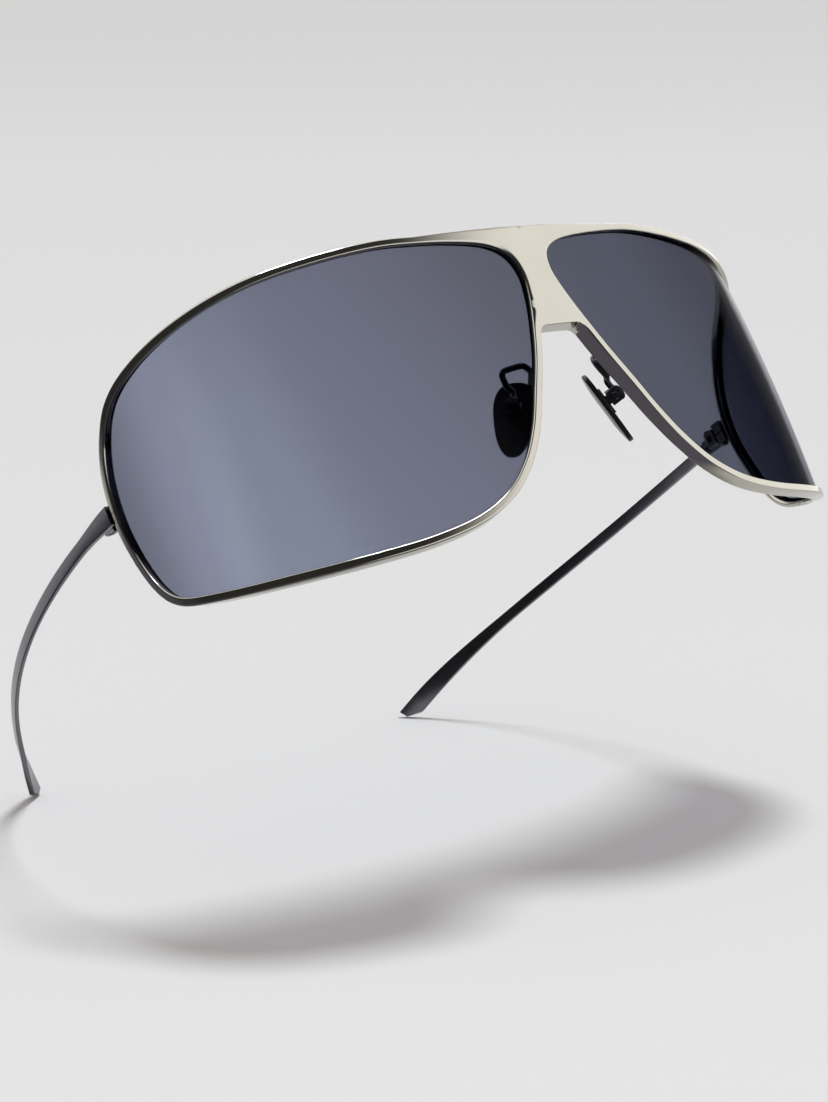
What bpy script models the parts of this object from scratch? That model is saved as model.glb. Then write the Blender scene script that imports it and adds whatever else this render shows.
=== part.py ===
"""Sunglasses: a wrapped metal front with a broad bridge plate, two tinted lenses in split rims,
folding temples with paddle tips, and nose pads that rock on their screws.

The glasses are modelled upright in the front's own frame (x to the viewer's right, y from the
front towards the ears, z up, the middle of the front's face at y = 0) and are then set down as
a whole on the lower edges of the rims and the ends of the temples.
The left side is the wearer's left, at +x.
"""
import math

import bmesh
import bpy
from mathutils import Quaternion, Vector

MM = 0.001
DEG = math.pi / 180

# Front: the horizontal run of its face, and its size along that run
HALF_SPAN = 92.3 * MM
FRONT_HEIGHT = 53.3 * MM
FRONT_RADIUS = 155.0 * MM
WRAP_RADIUS = 30.0 * MM
WRAP_START = 42.5 * MM
WRAP_FULL = 66.0 * MM
UPRIGHT_RADIUS = 380.0 * MM
UPRIGHT_CENTRE_SHARE = 0.56

# Rim: the wire that holds the lens
RIM_WIDTH = 1.4 * MM
RIM_DEPTH = 2.4 * MM
RIM_EDGE = 0.15 * MM
GROOVE_DEPTH = 0.6 * MM
GROOVE_WIDTH = 1.2 * MM
FRONT_LIP = 0.7 * MM
RIM_SLOT = 0.3 * MM

# Bridge plate
BRIDGE_DEPTH = 3.0 * MM
BRIDGE_HALF_WIDTH = 6.0 * MM
BRIDGE_FADE = 14.0 * MM
BRIDGE_TOP_SHARE = 0.988
NOTCH_TOP = 33.15 * MM
NOTCH_HALF_WIDTH = 4.8 * MM
NOTCH_CORNER = 1.5 * MM
POCKET_DEPTH = 1.7 * MM
POCKET_WALL = 1.3 * MM

# Lens
LENS_GAP = 0.1 * MM

# Rim lock: two blocks behind the split in the rim, and their screw
LOCK_LENGTH = 2.2 * MM
LOCK_WIDTH = 1.6 * MM
LOCK_HEIGHT = 2.0 * MM
LOCK_SCREW_RADIUS = 0.4 * MM
LOCK_HEAD_RADIUS = 0.65 * MM
LOCK_HEAD_HEIGHT = 0.4 * MM

# Hinge
HINGE_HEIGHT = 26.2 * MM
PIVOT_INSET = 2.0 * MM
KNUCKLE_RADIUS = 1.05 * MM
BRACKET_LENGTH = 0.7 * MM
LEAF_HEIGHT = 0.8 * MM
EYE_HEIGHT = 1.2 * MM
HINGE_SCREW_RADIUS = 0.45 * MM
HINGE_HEAD_RADIUS = 0.8 * MM
HINGE_HEAD_HEIGHT = 0.4 * MM
FOOT_LENGTH = 2.0 * MM
FOOT_HEIGHT = 2.0 * MM
FOOT_THICKNESS = 0.5 * MM
TONGUE_SHARE = 0.8

# Temple
TEMPLE_REACH = 91.3 * MM
TEMPLE_PROUD = 0.45 * MM
TEMPLE_ROOT_THICKNESS = 1.1 * MM
TEMPLE_THICKNESS = 0.8 * MM
PADDLE_THICKNESS = 1.1 * MM
TEMPLE_ROOT_HEIGHT = 3.3 * MM
TEMPLE_HEIGHT = 2.2 * MM
PADDLE_HEIGHT = 3.7 * MM
PADDLE_TWIST = 22.0 * DEG
TEMPLE_EDGE = 0.2 * MM
TIP_INSET = 26.7 * MM
TEMPLE_FALL = 10.75 * MM
TIP_DROP = 5.8 * MM
INSET_POWER = 2.31
FALL_POWER = 1.48
DROP_POWER = 6.4
FLARE_END_SHARE = 0.13
ROOT_END_SHARE = 0.1
ROOT_TAPER_SHARE = 0.4
PADDLE_START_SHARE = 0.7
TWIST_START_SHARE = 0.84

# Nose pad: its middle's place beside, behind and above the foot of the front's middle,
# and the directions of its line and of its face
PAD_SIDE = 10.8 * MM
PAD_BEHIND = 8.7 * MM
PAD_ABOVE = 20.45 * MM
PAD_DOWNWARD = Vector((0.441, 0.114, -0.890))
PAD_FACING = Vector((-0.657, 0.723, -0.213))
PAD_LENGTH = 14.0 * MM
PAD_WIDTH = 8.8 * MM
PAD_THICKNESS = 0.9 * MM
PAD_CROWN = 0.4 * MM
PAD_EDGE = 0.25 * MM
PAD_TAPER_SHARE = 0.4
CROWN_RING_SHARE = 0.75
PAD_SCREW_SHARE = 0.42
PAD_SQUARENESS = 2.5
PAD_ROCK_LIMIT = 12.0 * DEG

# Pad fitting: a lug on the pad's insert, held by a screw in a small box
INSERT_LENGTH = 5.0 * MM
INSERT_THICKNESS = 0.3 * MM
LUG_WIDTH = 1.0 * MM
LUG_RADIUS = 0.85 * MM
LUG_REACH = 1.45 * MM
BOX_EAR = 0.5 * MM
BOX_LENGTH = 2.7 * MM
BOX_BACK = 0.6 * MM
PAD_SCREW_RADIUS = 0.4 * MM
PAD_HEAD_RADIUS = 0.7 * MM
PAD_HEAD_HEIGHT = 0.35 * MM

# Pad arm: a bent wire from the rim to the box
ARM_RADIUS = 0.55 * MM
ARM_SIDES = 10
ARM_BOX_OFFSET = 0.4 * MM

# Fits
SEAT_GAP = 0.1 * MM
RUN_GAP = 0.05 * MM
FOLD_GAP = 0.2 * MM

# The lens opening, clockwise from the middle of its top edge as the left side is seen from
# the front: shares of the half span outwards from the middle, and of the height upwards
OPENING_SHARES = [
    (0.325, 0.973), (0.455, 0.963), (0.585, 0.939), (0.715, 0.894), (0.823, 0.840), (0.899, 0.778),
    (0.946, 0.688), (0.975, 0.581), (0.985, 0.459), (0.975, 0.327), (0.951, 0.211), (0.915, 0.142),
    (0.850, 0.099), (0.758, 0.061), (0.650, 0.035), (0.542, 0.025), (0.433, 0.029), (0.336, 0.055),
    (0.260, 0.112), (0.204, 0.196), (0.161, 0.297), (0.126, 0.410), (0.093, 0.522), (0.065, 0.639),
    (0.046, 0.736), (0.037, 0.823), (0.050, 0.890), (0.091, 0.930), (0.163, 0.952), (0.238, 0.965)]
LENS_CENTRE_SHARES = (0.52, 0.50)
LENS_RING_SHARES = (0.84, 0.66, 0.48, 0.3, 0.14)

# The pad arm's route in shares of the pad's place: along and up on the rim's back, then in space
ARM_BASE_SHARES = [(0.852, 1.174), (0.731, 1.291)]
ARM_BEND_SHARES = [(0.722, 0.483, 1.354), (0.843, 0.575, 1.394), (1.0, 0.69, 1.394),
                   (1.065, 0.782, 1.34), (1.037, 0.782, 1.262)]

# Places along the opening, counted in its points, where the rim runs into the bridge plate
AT_NOTCH_START = 22.6
AT_NOTCH_FLAT = 23.0
AT_MIDDLE_LOW = 23.4
AT_MIDDLE_HIGH = 26.6
AT_BRIDGE_END = 29.0
AT_POCKET_LOW = 20.6
AT_POCKET_HIGH = 26.1
AT_SIDE_START = 6.0
AT_SIDE_END = 11.0
EDGE_STEP = 0.05

RIGHT, LEFT = -1, 1
SIDES = {"right": RIGHT, "left": LEFT}
PIN_SIDES = 16
RUN_STEPS = 600
RUN_SHARE = 1.1
TANGENT_SHARE = 0.002
SIDE_STEPS = 100
TEMPLE_STATIONS = 28


def clear_scene():
    for old in list(bpy.data.objects):
        bpy.data.objects.remove(old, do_unlink=True)


def make_material(name, color, roughness, metallic, alpha=1.0):
    material = bpy.data.materials.new(name)
    material.use_nodes = True
    shader = material.node_tree.nodes["Principled BSDF"]
    shader.inputs["Base Color"].default_value = (*color, 1.0)
    shader.inputs["Roughness"].default_value = roughness
    shader.inputs["Metallic"].default_value = metallic
    shader.inputs["Alpha"].default_value = alpha
    return material


def ease(share):
    """Smooth step from 0 to 1."""
    share = min(max(share, 0.0), 1.0)
    return share * share * (3 - 2 * share)


# The front's face: a horizontal run, bent gently in front and strongly at the temples

def run_table():
    """Points of the horizontal run: for each step the place and the direction."""
    step = HALF_SPAN * RUN_SHARE / RUN_STEPS
    x, y, turn = 0.0, 0.0, 0.0
    table = []
    for i in range(RUN_STEPS + 1):
        table.append((x, y, turn))
        wrap = ease(((i + 0.5) * step - WRAP_START) / (WRAP_FULL - WRAP_START))
        bend = 1 / FRONT_RADIUS + (1 / WRAP_RADIUS - 1 / FRONT_RADIUS) * wrap
        middle = turn + bend * step / 2
        x += math.cos(middle) * step
        y += math.sin(middle) * step
        turn += bend * step
    return table, step


RUN, RUN_STEP = run_table()


def run_at(along):
    place = min(max(along / RUN_STEP, 0.0), RUN_STEPS - 1e-9)
    i = int(place)
    part = place - i
    return [a + (b - a) * part for a, b in zip(RUN[i], RUN[i + 1])]


def face_point(along, height, depth=0.0):
    """Point of the left half, at a distance along the run, a height and a depth behind the face."""
    x, y, turn = run_at(along)
    from_centre = height - UPRIGHT_CENTRE_SHARE * FRONT_HEIGHT
    inward = depth + from_centre * from_centre / (2 * UPRIGHT_RADIUS)
    return Vector((x - math.sin(turn) * inward, y + math.cos(turn) * inward, height))


def opening_at(place):
    """The opening's outline at a place counted in its points, as along and height."""
    count = len(OPENING_SHARES)
    i = int(math.floor(place))
    t = place - i
    ring = [OPENING_SHARES[(i + k) % count] for k in (-1, 0, 1, 2)]
    weights = (-t / 2 + t * t - t ** 3 / 2, 1 - 2.5 * t * t + 1.5 * t ** 3,
               t / 2 + 2 * t * t - 1.5 * t ** 3, (t ** 3 - t * t) / 2)
    along = sum(w * p[0] for w, p in zip(weights, ring)) * HALF_SPAN
    height = sum(w * p[1] for w, p in zip(weights, ring)) * FRONT_HEIGHT
    return Vector((along, height))


def outward_at(place):
    """Direction across the rim, away from the lens, at a place along the opening."""
    ahead = opening_at(place + EDGE_STEP)
    behind = opening_at(place - EDGE_STEP)
    tangent = (ahead - behind).normalized()
    return Vector((-tangent.y, tangent.x))


def offset_at(place, distance):
    return opening_at(place) + outward_at(place) * distance


def hinge_place():
    """Place along the opening where it passes the hinge's height, on its outer side."""
    low, high = AT_SIDE_START, AT_SIDE_END
    for _ in range(40):
        middle = (low + high) / 2
        if opening_at(middle).y > HINGE_HEIGHT:
            low = middle
        else:
            high = middle
    return (low + high) / 2


AT_HINGE = hinge_place()


def spread(start, end, count):
    """Evenly spaced places from start up to, and without, end."""
    return [start + (end - start) * i / count for i in range(count)]


def rim_places():
    """Places along the opening from below the slot round to above it, and on past its start."""
    count = len(OPENING_SHARES)
    speed = (opening_at(AT_HINGE + EDGE_STEP) - opening_at(AT_HINGE - EDGE_STEP)).length / (2 * EDGE_STEP)
    half_slot = RIM_SLOT / 2 / speed
    first = AT_HINGE + half_slot
    last = AT_HINGE - half_slot + count
    places = [first]
    places += [i / 2 for i in range(math.ceil(2 * first), int(2 * AT_NOTCH_START) + 1)]
    places += spread(AT_NOTCH_START, AT_NOTCH_FLAT, 4)
    places += [AT_NOTCH_FLAT, (AT_NOTCH_FLAT + AT_MIDDLE_LOW) / 2, AT_MIDDLE_LOW]
    places += spread(AT_MIDDLE_LOW + EDGE_STEP, AT_MIDDLE_HIGH - EDGE_STEP, 7)
    places += [AT_MIDDLE_HIGH - EDGE_STEP]
    places += spread(AT_MIDDLE_HIGH, AT_BRIDGE_END, 5)
    places += [i / 2 for i in range(int(2 * AT_BRIDGE_END), int(2 * last) + 1)]
    places.append(last)
    return places


def outer_edge(place):
    """The front's outer edge beside a place along the opening: the rim's, or the bridge plate's."""
    top = BRIDGE_TOP_SHARE * FRONT_HEIGHT
    flat_end = Vector((NOTCH_HALF_WIDTH - NOTCH_CORNER, NOTCH_TOP))
    if AT_NOTCH_START < place < AT_NOTCH_FLAT:
        corner = Vector((NOTCH_HALF_WIDTH, NOTCH_TOP))
        t = (place - AT_NOTCH_START) / (AT_NOTCH_FLAT - AT_NOTCH_START)
        rise = offset_at(AT_NOTCH_START, RIM_WIDTH).lerp(corner, t)
        return rise.lerp(corner.lerp(flat_end, t), t)
    stations = [
        (AT_NOTCH_START, offset_at(AT_NOTCH_START, RIM_WIDTH)),
        (AT_NOTCH_FLAT, flat_end),
        (AT_MIDDLE_LOW, Vector((0.0, NOTCH_TOP))),
        (AT_MIDDLE_LOW + EDGE_STEP, Vector((0.0, NOTCH_TOP + RIM_EDGE))),
        (AT_MIDDLE_HIGH - EDGE_STEP, Vector((0.0, top - RIM_EDGE))),
        (AT_MIDDLE_HIGH, Vector((0.0, top))),
        (AT_BRIDGE_END, offset_at(AT_BRIDGE_END, RIM_WIDTH))]
    if place <= stations[0][0] or place >= stations[-1][0]:
        return offset_at(place, RIM_WIDTH)
    for (a, start), (b, end) in zip(stations, stations[1:]):
        if place <= b:
            return start.lerp(end, (place - a) / (b - a))


def on_middle(place):
    """True where the half front meets its mirror image with no outer edge between."""
    return AT_MIDDLE_LOW < place < AT_MIDDLE_HIGH


def depth_at(along):
    """Depth of the front: the bridge plate's in the middle, fading out to the rims'."""
    fade = ease((along - BRIDGE_HALF_WIDTH) / BRIDGE_FADE)
    return BRIDGE_DEPTH + (RIM_DEPTH - BRIDGE_DEPTH) * fade


def rim_section(place):
    """Closed section of the half front at a place, as (along, height, depth) points."""
    inner = opening_at(place)
    outward = outward_at(place)
    outer = outer_edge(place)
    back = (inner - outer).normalized() * RIM_EDGE
    edge = 0.0 if on_middle(place) else RIM_EDGE
    face_in = inner + outward * RIM_EDGE
    face_out = outer + back
    third = face_in.lerp(face_out, 1 / 3)
    two_thirds = face_in.lerp(face_out, 2 / 3)
    groove = inner + outward * GROOVE_DEPTH
    flat = [(inner, RIM_EDGE), (face_in, 0.0), (third, 0.0), (two_thirds, 0.0), (face_out, 0.0),
            (outer, edge), (outer, depth_at(outer.x) - edge), (face_out, depth_at(face_out.x)),
            (two_thirds, depth_at(two_thirds.x)), (third, depth_at(third.x)),
            (face_in, depth_at(face_in.x)), (inner, depth_at(inner.x) - RIM_EDGE),
            (inner, FRONT_LIP + GROOVE_WIDTH), (groove, FRONT_LIP + GROOVE_WIDTH),
            (groove, FRONT_LIP), (inner, FRONT_LIP)]
    return [(p.x, p.y, depth) for p, depth in flat]


OUTER_FRONT, OUTER_BACK = 5, 6


def front_mesh():
    """Both rims and the bridge plate as one skin: open rings, capped at the slots."""
    places = rim_places()
    sections = [rim_section(place) for place in places]
    size = len(sections[0])
    verts, faces = [], []
    shared = {}
    for side in (LEFT, RIGHT):
        index = []
        for j, section in enumerate(sections):
            row = []
            for k, (along, height, depth) in enumerate(section):
                seam = on_middle(places[j]) or places[j] in (AT_MIDDLE_LOW, AT_MIDDLE_HIGH)
                if seam and k in (OUTER_FRONT, OUTER_BACK) and (j, k) in shared:
                    row.append(shared[j, k])
                    continue
                point = face_point(along, height, depth)
                if seam and k in (OUTER_FRONT, OUTER_BACK):
                    point.x = 0.0
                    shared[j, k] = len(verts)
                row.append(len(verts))
                verts.append(Vector((side * point.x, point.y, point.z)))
            index.append(row)
        for j in range(len(index) - 1):
            closed_here = on_middle(places[j]) or on_middle(places[j + 1])
            for k in range(size):
                n = (k + 1) % size
                if k == OUTER_FRONT and closed_here:
                    continue
                faces.append((index[j][k], index[j][n], index[j + 1][n], index[j + 1][k]))
        faces.append(tuple(index[0]))
        faces.append(tuple(index[-1]))
    return verts, faces


def pocket_mesh():
    """The hollow in the back of the bridge plate, as a cutter that stands out behind it."""
    top = BRIDGE_TOP_SHARE * FRONT_HEIGHT - POCKET_WALL
    low = NOTCH_TOP + POCKET_WALL
    rows = 8
    verts, faces = [], []
    for i in range(rows + 1):
        height = low + (top - low) * i / rows
        half = pocket_half_width(height)
        for along in (-half, 0.0, half):
            for depth in (BRIDGE_DEPTH - POCKET_DEPTH, BRIDGE_DEPTH + POCKET_DEPTH):
                point = face_point(abs(along), height, depth)
                verts.append(Vector((math.copysign(point.x, along), point.y, point.z)))
    for i in range(rows):
        a, b = 6 * i, 6 * (i + 1)
        faces += [(a, a + 2, b + 2, b), (a + 2, a + 4, b + 4, b + 2),
                  (a + 1, a + 3, b + 3, b + 1), (a + 3, a + 5, b + 5, b + 3),
                  (a, a + 1, b + 1, b), (a + 4, a + 5, b + 5, b + 4)]
    last = 6 * rows
    faces += [(0, 2, 3, 1), (2, 4, 5, 3), (last, last + 2, last + 3, last + 1),
              (last + 2, last + 4, last + 5, last + 3)]
    return verts, faces


def pocket_half_width(height):
    """Half the pocket's width at a height: the opening's nose side, less groove and wall."""
    low, high = AT_POCKET_LOW, AT_POCKET_HIGH
    for _ in range(40):
        middle = (low + high) / 2
        if opening_at(middle).y < height:
            low = middle
        else:
            high = middle
    return opening_at((low + high) / 2).x - GROOVE_DEPTH - POCKET_WALL / 2


def lens_mesh(side):
    """Lens with its edge in the rim's groove, as rings towards its middle."""
    places = rim_places()
    edge = [offset_at(place, GROOVE_DEPTH - LENS_GAP) for place in places]
    centre = Vector((LENS_CENTRE_SHARES[0] * HALF_SPAN, LENS_CENTRE_SHARES[1] * FRONT_HEIGHT))
    count = len(edge)
    front, back = FRONT_LIP + LENS_GAP, FRONT_LIP + GROOVE_WIDTH - LENS_GAP
    verts, faces = [], []
    for depth in (front, back):
        for share in (1.0, *LENS_RING_SHARES):
            for p in edge:
                q = centre + (p - centre) * share
                point = face_point(q.x, q.y, depth)
                verts.append(Vector((side * point.x, point.y, point.z)))
        point = face_point(centre.x, centre.y, depth)
        verts.append(Vector((side * point.x, point.y, point.z)))
    rings = 1 + len(LENS_RING_SHARES)
    half = rings * count + 1
    for start in (0, half):
        for r in range(rings - 1):
            for i in range(count):
                n = (i + 1) % count
                a, b = start + r * count, start + (r + 1) * count
                faces.append((a + i, a + n, b + n, b + i))
        last = start + (rings - 1) * count
        for i in range(count):
            faces.append((last + i, last + (i + 1) % count, start + half - 1))
    for i in range(count):
        n = (i + 1) % count
        faces.append((i, n, half + n, half + i))
    return verts, faces


# Small solids, built around an axis through a hole or along a line

def prism(outline, hole_radius, origin, u, v, axis, low, high):
    """Plate of a star-shaped outline round a hole at the origin, from low to high along an axis."""
    verts, faces = [], []
    for level in (low, high):
        for a, b in outline:
            verts.append(origin + u * a + v * b + axis * level)
        for a, b in outline:
            reach = math.hypot(a, b)
            a, b = a / reach * hole_radius, b / reach * hole_radius
            verts.append(origin + u * a + v * b + axis * level)
    count = len(outline)
    for i in range(count):
        n = (i + 1) % count
        faces += [(i, n, count + n, count + i),
                  (2 * count + i, 2 * count + n, 3 * count + n, 3 * count + i),
                  (i, n, 2 * count + n, 2 * count + i),
                  (count + i, count + n, 3 * count + n, 3 * count + i)]
    return verts, faces


def slotted_prism(outline, root, hole, inner, outer, origin, u, v, axis):
    """Two plates of one outline with a hole at the origin, joined on the far side of the root line."""
    count = len(outline)
    first, last = sorted(sorted(range(count), key=lambda i: abs(outline[i][0] - root))[:2])
    hole_ring = [(a / math.hypot(a, b) * hole, b / math.hypot(a, b) * hole) for a, b in outline]
    verts, faces = [], []
    levels = (outer, inner, -inner, -outer)
    for level in levels:
        verts += [origin + u * a + v * b + axis * level for a, b in outline + hole_ring]
    size = len(verts) // len(levels)
    for level in (0, 3):
        base = level * size
        for i in range(count):
            n = (i + 1) % count
            faces.append((base + i, base + n, base + count + n, base + count + i))
    for upper, lower in ((0, 1), (2, 3)):
        a, b = upper * size, lower * size
        for i in range(count):
            n = (i + 1) % count
            faces.append((a + i, a + n, b + n, b + i))
            faces.append((a + count + i, a + count + n, b + count + n, b + count + i))
    for level in (1, 2):
        base = level * size
        for i in list(range(last, count)) + list(range(0, first)):
            n = (i + 1) % count
            faces.append((base + i, base + n, base + count + n, base + count + i))
        ring = range(first, last + 1)
        faces.append(tuple([base + first] + [base + count + i for i in ring] + [base + last]))
    a, b = size, 2 * size
    for i in range(first, last):
        faces.append((a + i, a + i + 1, b + i + 1, b + i))
    faces.append((a + last, a + first, b + first, b + last))
    return verts, faces


def arc(radius, start, end, count):
    return [(radius * math.cos(start + (end - start) * i / count),
             radius * math.sin(start + (end - start) * i / count)) for i in range(count + 1)]


def block_outline(back, front, half_width):
    """Rectangle from -back to front, with points spaced so that a hole in it stays round."""
    points = []
    corners = [(front, -half_width), (front, half_width), (-back, half_width), (-back, -half_width)]
    for (a0, b0), (a1, b1) in zip(corners, corners[1:] + corners[:1]):
        for i in range(4):
            points.append((a0 + (a1 - a0) * i / 4, b0 + (b1 - b0) * i / 4))
    return points


def revolve(profile, origin, u, v, axis):
    """Solid of revolution: profile is (radius, level) from one end of the axis to the other."""
    verts, faces = [], []
    for radius, level in profile:
        for i in range(PIN_SIDES):
            turn = 2 * math.pi * i / PIN_SIDES
            verts.append(origin + u * radius * math.cos(turn) + v * radius * math.sin(turn) + axis * level)
    for j in range(len(profile) - 1):
        for i in range(PIN_SIDES):
            n = (i + 1) % PIN_SIDES
            a, b = j * PIN_SIDES, (j + 1) * PIN_SIDES
            faces.append((a + i, a + n, b + n, b + i))
    faces.append(tuple(range(PIN_SIDES)))
    faces.append(tuple(range((len(profile) - 1) * PIN_SIDES, len(profile) * PIN_SIDES)))
    return verts, faces


def loft(rows):
    """Closed solid through rows of points of equal count, capped at both ends."""
    size = len(rows[0])
    verts = [p for row in rows for p in row]
    faces = [tuple(range(size)), tuple(range((len(rows) - 1) * size, len(rows) * size))]
    for j in range(len(rows) - 1):
        for k in range(size):
            n = (k + 1) % size
            faces.append((j * size + k, j * size + n, (j + 1) * size + n, (j + 1) * size + k))
    return verts, faces


class Build:
    """Objects of the model, hung from one empty that sets the glasses down on the table."""

    def __init__(self):
        self.stance = bpy.data.objects.new("stance", None)
        bpy.context.collection.objects.link(self.stance)
        self.carriers = {None: (self.stance, Vector((0, 0, 0)))}

    def carrier(self, name, pivot):
        empty = bpy.data.objects.new(name, None)
        bpy.context.collection.objects.link(empty)
        empty.parent = self.stance
        empty.location = pivot
        self.carriers[name] = (empty, pivot)

    def add(self, name, mesh_data, material, carrier=None, smooth=False):
        verts, faces = mesh_data
        parent, pivot = self.carriers[carrier]
        mesh = bpy.data.meshes.new(name)
        mesh.from_pydata([v - pivot for v in verts], [], faces)
        work = bmesh.new()
        work.from_mesh(mesh)
        bmesh.ops.recalc_face_normals(work, faces=work.faces)
        work.to_mesh(mesh)
        work.free()
        if smooth:
            mesh.shade_smooth()
            mesh.set_sharp_from_angle(angle=SHARP_ANGLE)
        mesh.materials.append(material)
        part = bpy.data.objects.new(name, mesh)
        bpy.context.collection.objects.link(part)
        part.parent = parent
        return part


SHARP_ANGLE = 40 * DEG
UP = Vector((0, 0, 1))
BACK = Vector((0, 1, 0))


def mirrored(mesh_data, side):
    verts, faces = mesh_data
    return [Vector((side * v.x, v.y, v.z)) for v in verts], faces


def add_front(build, metal):
    front = build.add("front_frame", front_mesh(), metal, smooth=True)
    cutter = build.add("bridge_pocket_cutter", pocket_mesh(), metal)
    cutter.hide_render = True
    cutter.display_type = "WIRE"
    cut = front.modifiers.new("bridge_pocket", "BOOLEAN")
    cut.operation = "DIFFERENCE"
    cut.object = cutter


def rim_end(reach, depth):
    """Outer corner of the left rim at the hinge, as far back as the rim goes: within a reach
    above and below the hinge, and down to a depth behind the face.
    """
    edge = offset_at(AT_HINGE, RIM_WIDTH)
    corner = face_point(edge.x, edge.y)
    outer = [offset_at(place, RIM_WIDTH) for place in spread(AT_SIDE_START, AT_SIDE_END, SIDE_STEPS)]
    beside = [p for p in outer if abs(p.y - edge.y) < reach]
    corner.y = max(face_point(p.x, p.y, level).y for p in beside for level in (0.0, depth))
    return corner


RIM_END = rim_end(RIM_SLOT / 2 + LOCK_HEIGHT + LOCK_HEAD_HEIGHT, RIM_DEPTH)
TEMPLE_START = rim_end(TEMPLE_ROOT_HEIGHT / 2, TEMPLE_ROOT_THICKNESS - TEMPLE_PROUD)
INWARD = Vector((-1, 0, 0))
LOCK_AXIS = RIM_END + BACK * (SEAT_GAP + LOCK_LENGTH / 2) + INWARD * PIVOT_INSET
BRACKET_START = SEAT_GAP + LOCK_LENGTH + SEAT_GAP
PIVOT = (RIM_END + BACK * (BRACKET_START + BRACKET_LENGTH + FOLD_GAP + KNUCKLE_RADIUS)
         + INWARD * PIVOT_INSET)


def screw_profile(radius, head_radius, head_height, length):
    """Screw from its head, at level zero, down to its end."""
    edge = head_height / 4
    return [(head_radius - edge, head_height), (head_radius, head_height - edge), (head_radius, 0.0),
            (radius, 0.0), (radius, edge - length), (radius - edge, -length)]


def add_rim_lock(build, name, side, metal, screw_metal):
    outline = block_outline(LOCK_LENGTH / 2, LOCK_LENGTH / 2, LOCK_WIDTH / 2)
    hole = LOCK_SCREW_RADIUS + RUN_GAP
    gap = RIM_SLOT / 2
    for place, low, high in (("upper", gap, gap + LOCK_HEIGHT), ("lower", -gap - LOCK_HEIGHT, -gap)):
        block = prism(outline, hole, LOCK_AXIS, BACK, INWARD, UP, low, high)
        build.add(f"{name}_rim_lock_{place}", mirrored(block, side), metal)
    length = 2 * LOCK_HEIGHT + RIM_SLOT + SEAT_GAP
    under = LOCK_AXIS - UP * (gap + LOCK_HEIGHT + SEAT_GAP)
    profile = screw_profile(LOCK_SCREW_RADIUS, LOCK_HEAD_RADIUS, LOCK_HEAD_HEIGHT, length)
    screw = revolve(profile, under, BACK, INWARD, -UP)
    build.add(f"{name}_rim_lock_screw", mirrored(screw, side), screw_metal, smooth=True)


def add_hinge(build, name, side, metal, screw_metal):
    """Front bracket with two leaves, the temple's eye between them, and the hinge screw."""
    hole = HINGE_SCREW_RADIUS + RUN_GAP
    eye_half = EYE_HEIGHT / 2
    leaf_low = eye_half + RUN_GAP
    leaf_high = leaf_low + LEAF_HEIGHT
    reach = KNUCKLE_RADIUS + FOLD_GAP + BRACKET_LENGTH
    leaf = leaf_outline(reach)
    root = -(KNUCKLE_RADIUS + FOLD_GAP)
    bracket = slotted_prism(leaf, root, hole, leaf_low, leaf_high, PIVOT, BACK, INWARD, UP)
    build.add(f"{name}_hinge_bracket", mirrored(bracket, side), metal)
    eye = prism(eye_outline(), hole, PIVOT, BACK, INWARD, UP, -eye_half, eye_half)
    build.add(f"{name}_hinge_eye", mirrored(eye, side), metal, carrier=f"{name}_temple_pivot")
    top = PIVOT + UP * (leaf_high + RUN_GAP)
    profile = screw_profile(HINGE_SCREW_RADIUS, HINGE_HEAD_RADIUS, HINGE_HEAD_HEIGHT, 2 * leaf_high)
    screw = revolve(profile, top, BACK, INWARD, UP)
    build.add(f"{name}_hinge_screw", mirrored(screw, side), screw_metal, smooth=True)


def leaf_outline(reach):
    """Leaf of the bracket round the pivot: round behind it, straight back to the bracket's foot."""
    radius = KNUCKLE_RADIUS
    points = arc(radius, -math.pi / 2, math.pi / 2, 8)
    root = -(KNUCKLE_RADIUS + FOLD_GAP)
    points += [(root / 2, radius), (root, radius), (-reach, radius), (-reach, radius / 2), (-reach, 0.0),
               (-reach, -radius / 2), (-reach, -radius), (root, -radius), (root / 2, -radius)]
    return points


def eye_outline():
    """Eye of the temple: round at the pivot, with a tongue that runs out to the foot on the temple."""
    radius = KNUCKLE_RADIUS - RUN_GAP
    out = foot_line(1.0).y + FOOT_THICKNESS + SEAT_GAP
    tongue = KNUCKLE_RADIUS + FOOT_LENGTH * TONGUE_SHARE
    points = arc(radius, 15 * DEG, 225 * DEG, 12)
    start, end = points[-1], (tongue, out)
    points += [(start[0] / 2, out), (0.0, out), (tongue / 3, out), (tongue * 2 / 3, out), end,
               (tongue, out / 3)]
    return points


def foot_mesh():
    """Foot of the eye, a small plate brazed along the temple's inner face."""
    start, end = foot_line(0.0), foot_line(1.0)
    corners = [start, end, end + Vector((0, FOOT_THICKNESS)), start + Vector((0, FOOT_THICKNESS))]
    rows = [[PIVOT + BACK * p.x + INWARD * p.y + UP * level for p in corners]
            for level in (-FOOT_HEIGHT / 2, FOOT_HEIGHT / 2)]
    return loft(rows)


def foot_line(share):
    """Point on the foot's outer face, back and inward from the pivot."""
    back = KNUCKLE_RADIUS + FOOT_LENGTH * share
    beside = temple_centre((PIVOT.y + back - temple_centre(0.0).y) / TEMPLE_REACH)
    return Vector((back, PIVOT.x - beside.x + TEMPLE_ROOT_THICKNESS / 2 + SEAT_GAP))


def temple_centre(share):
    """Middle of the temple's section at a share of its reach."""
    start = TEMPLE_START + BACK * FOLD_GAP + INWARD * (TEMPLE_ROOT_THICKNESS / 2 - TEMPLE_PROUD)
    inset = TIP_INSET * share ** INSET_POWER
    fall = TEMPLE_FALL * share ** FALL_POWER + TIP_DROP * share ** DROP_POWER
    return start + BACK * (TEMPLE_REACH * share) + INWARD * inset - UP * fall


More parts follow.
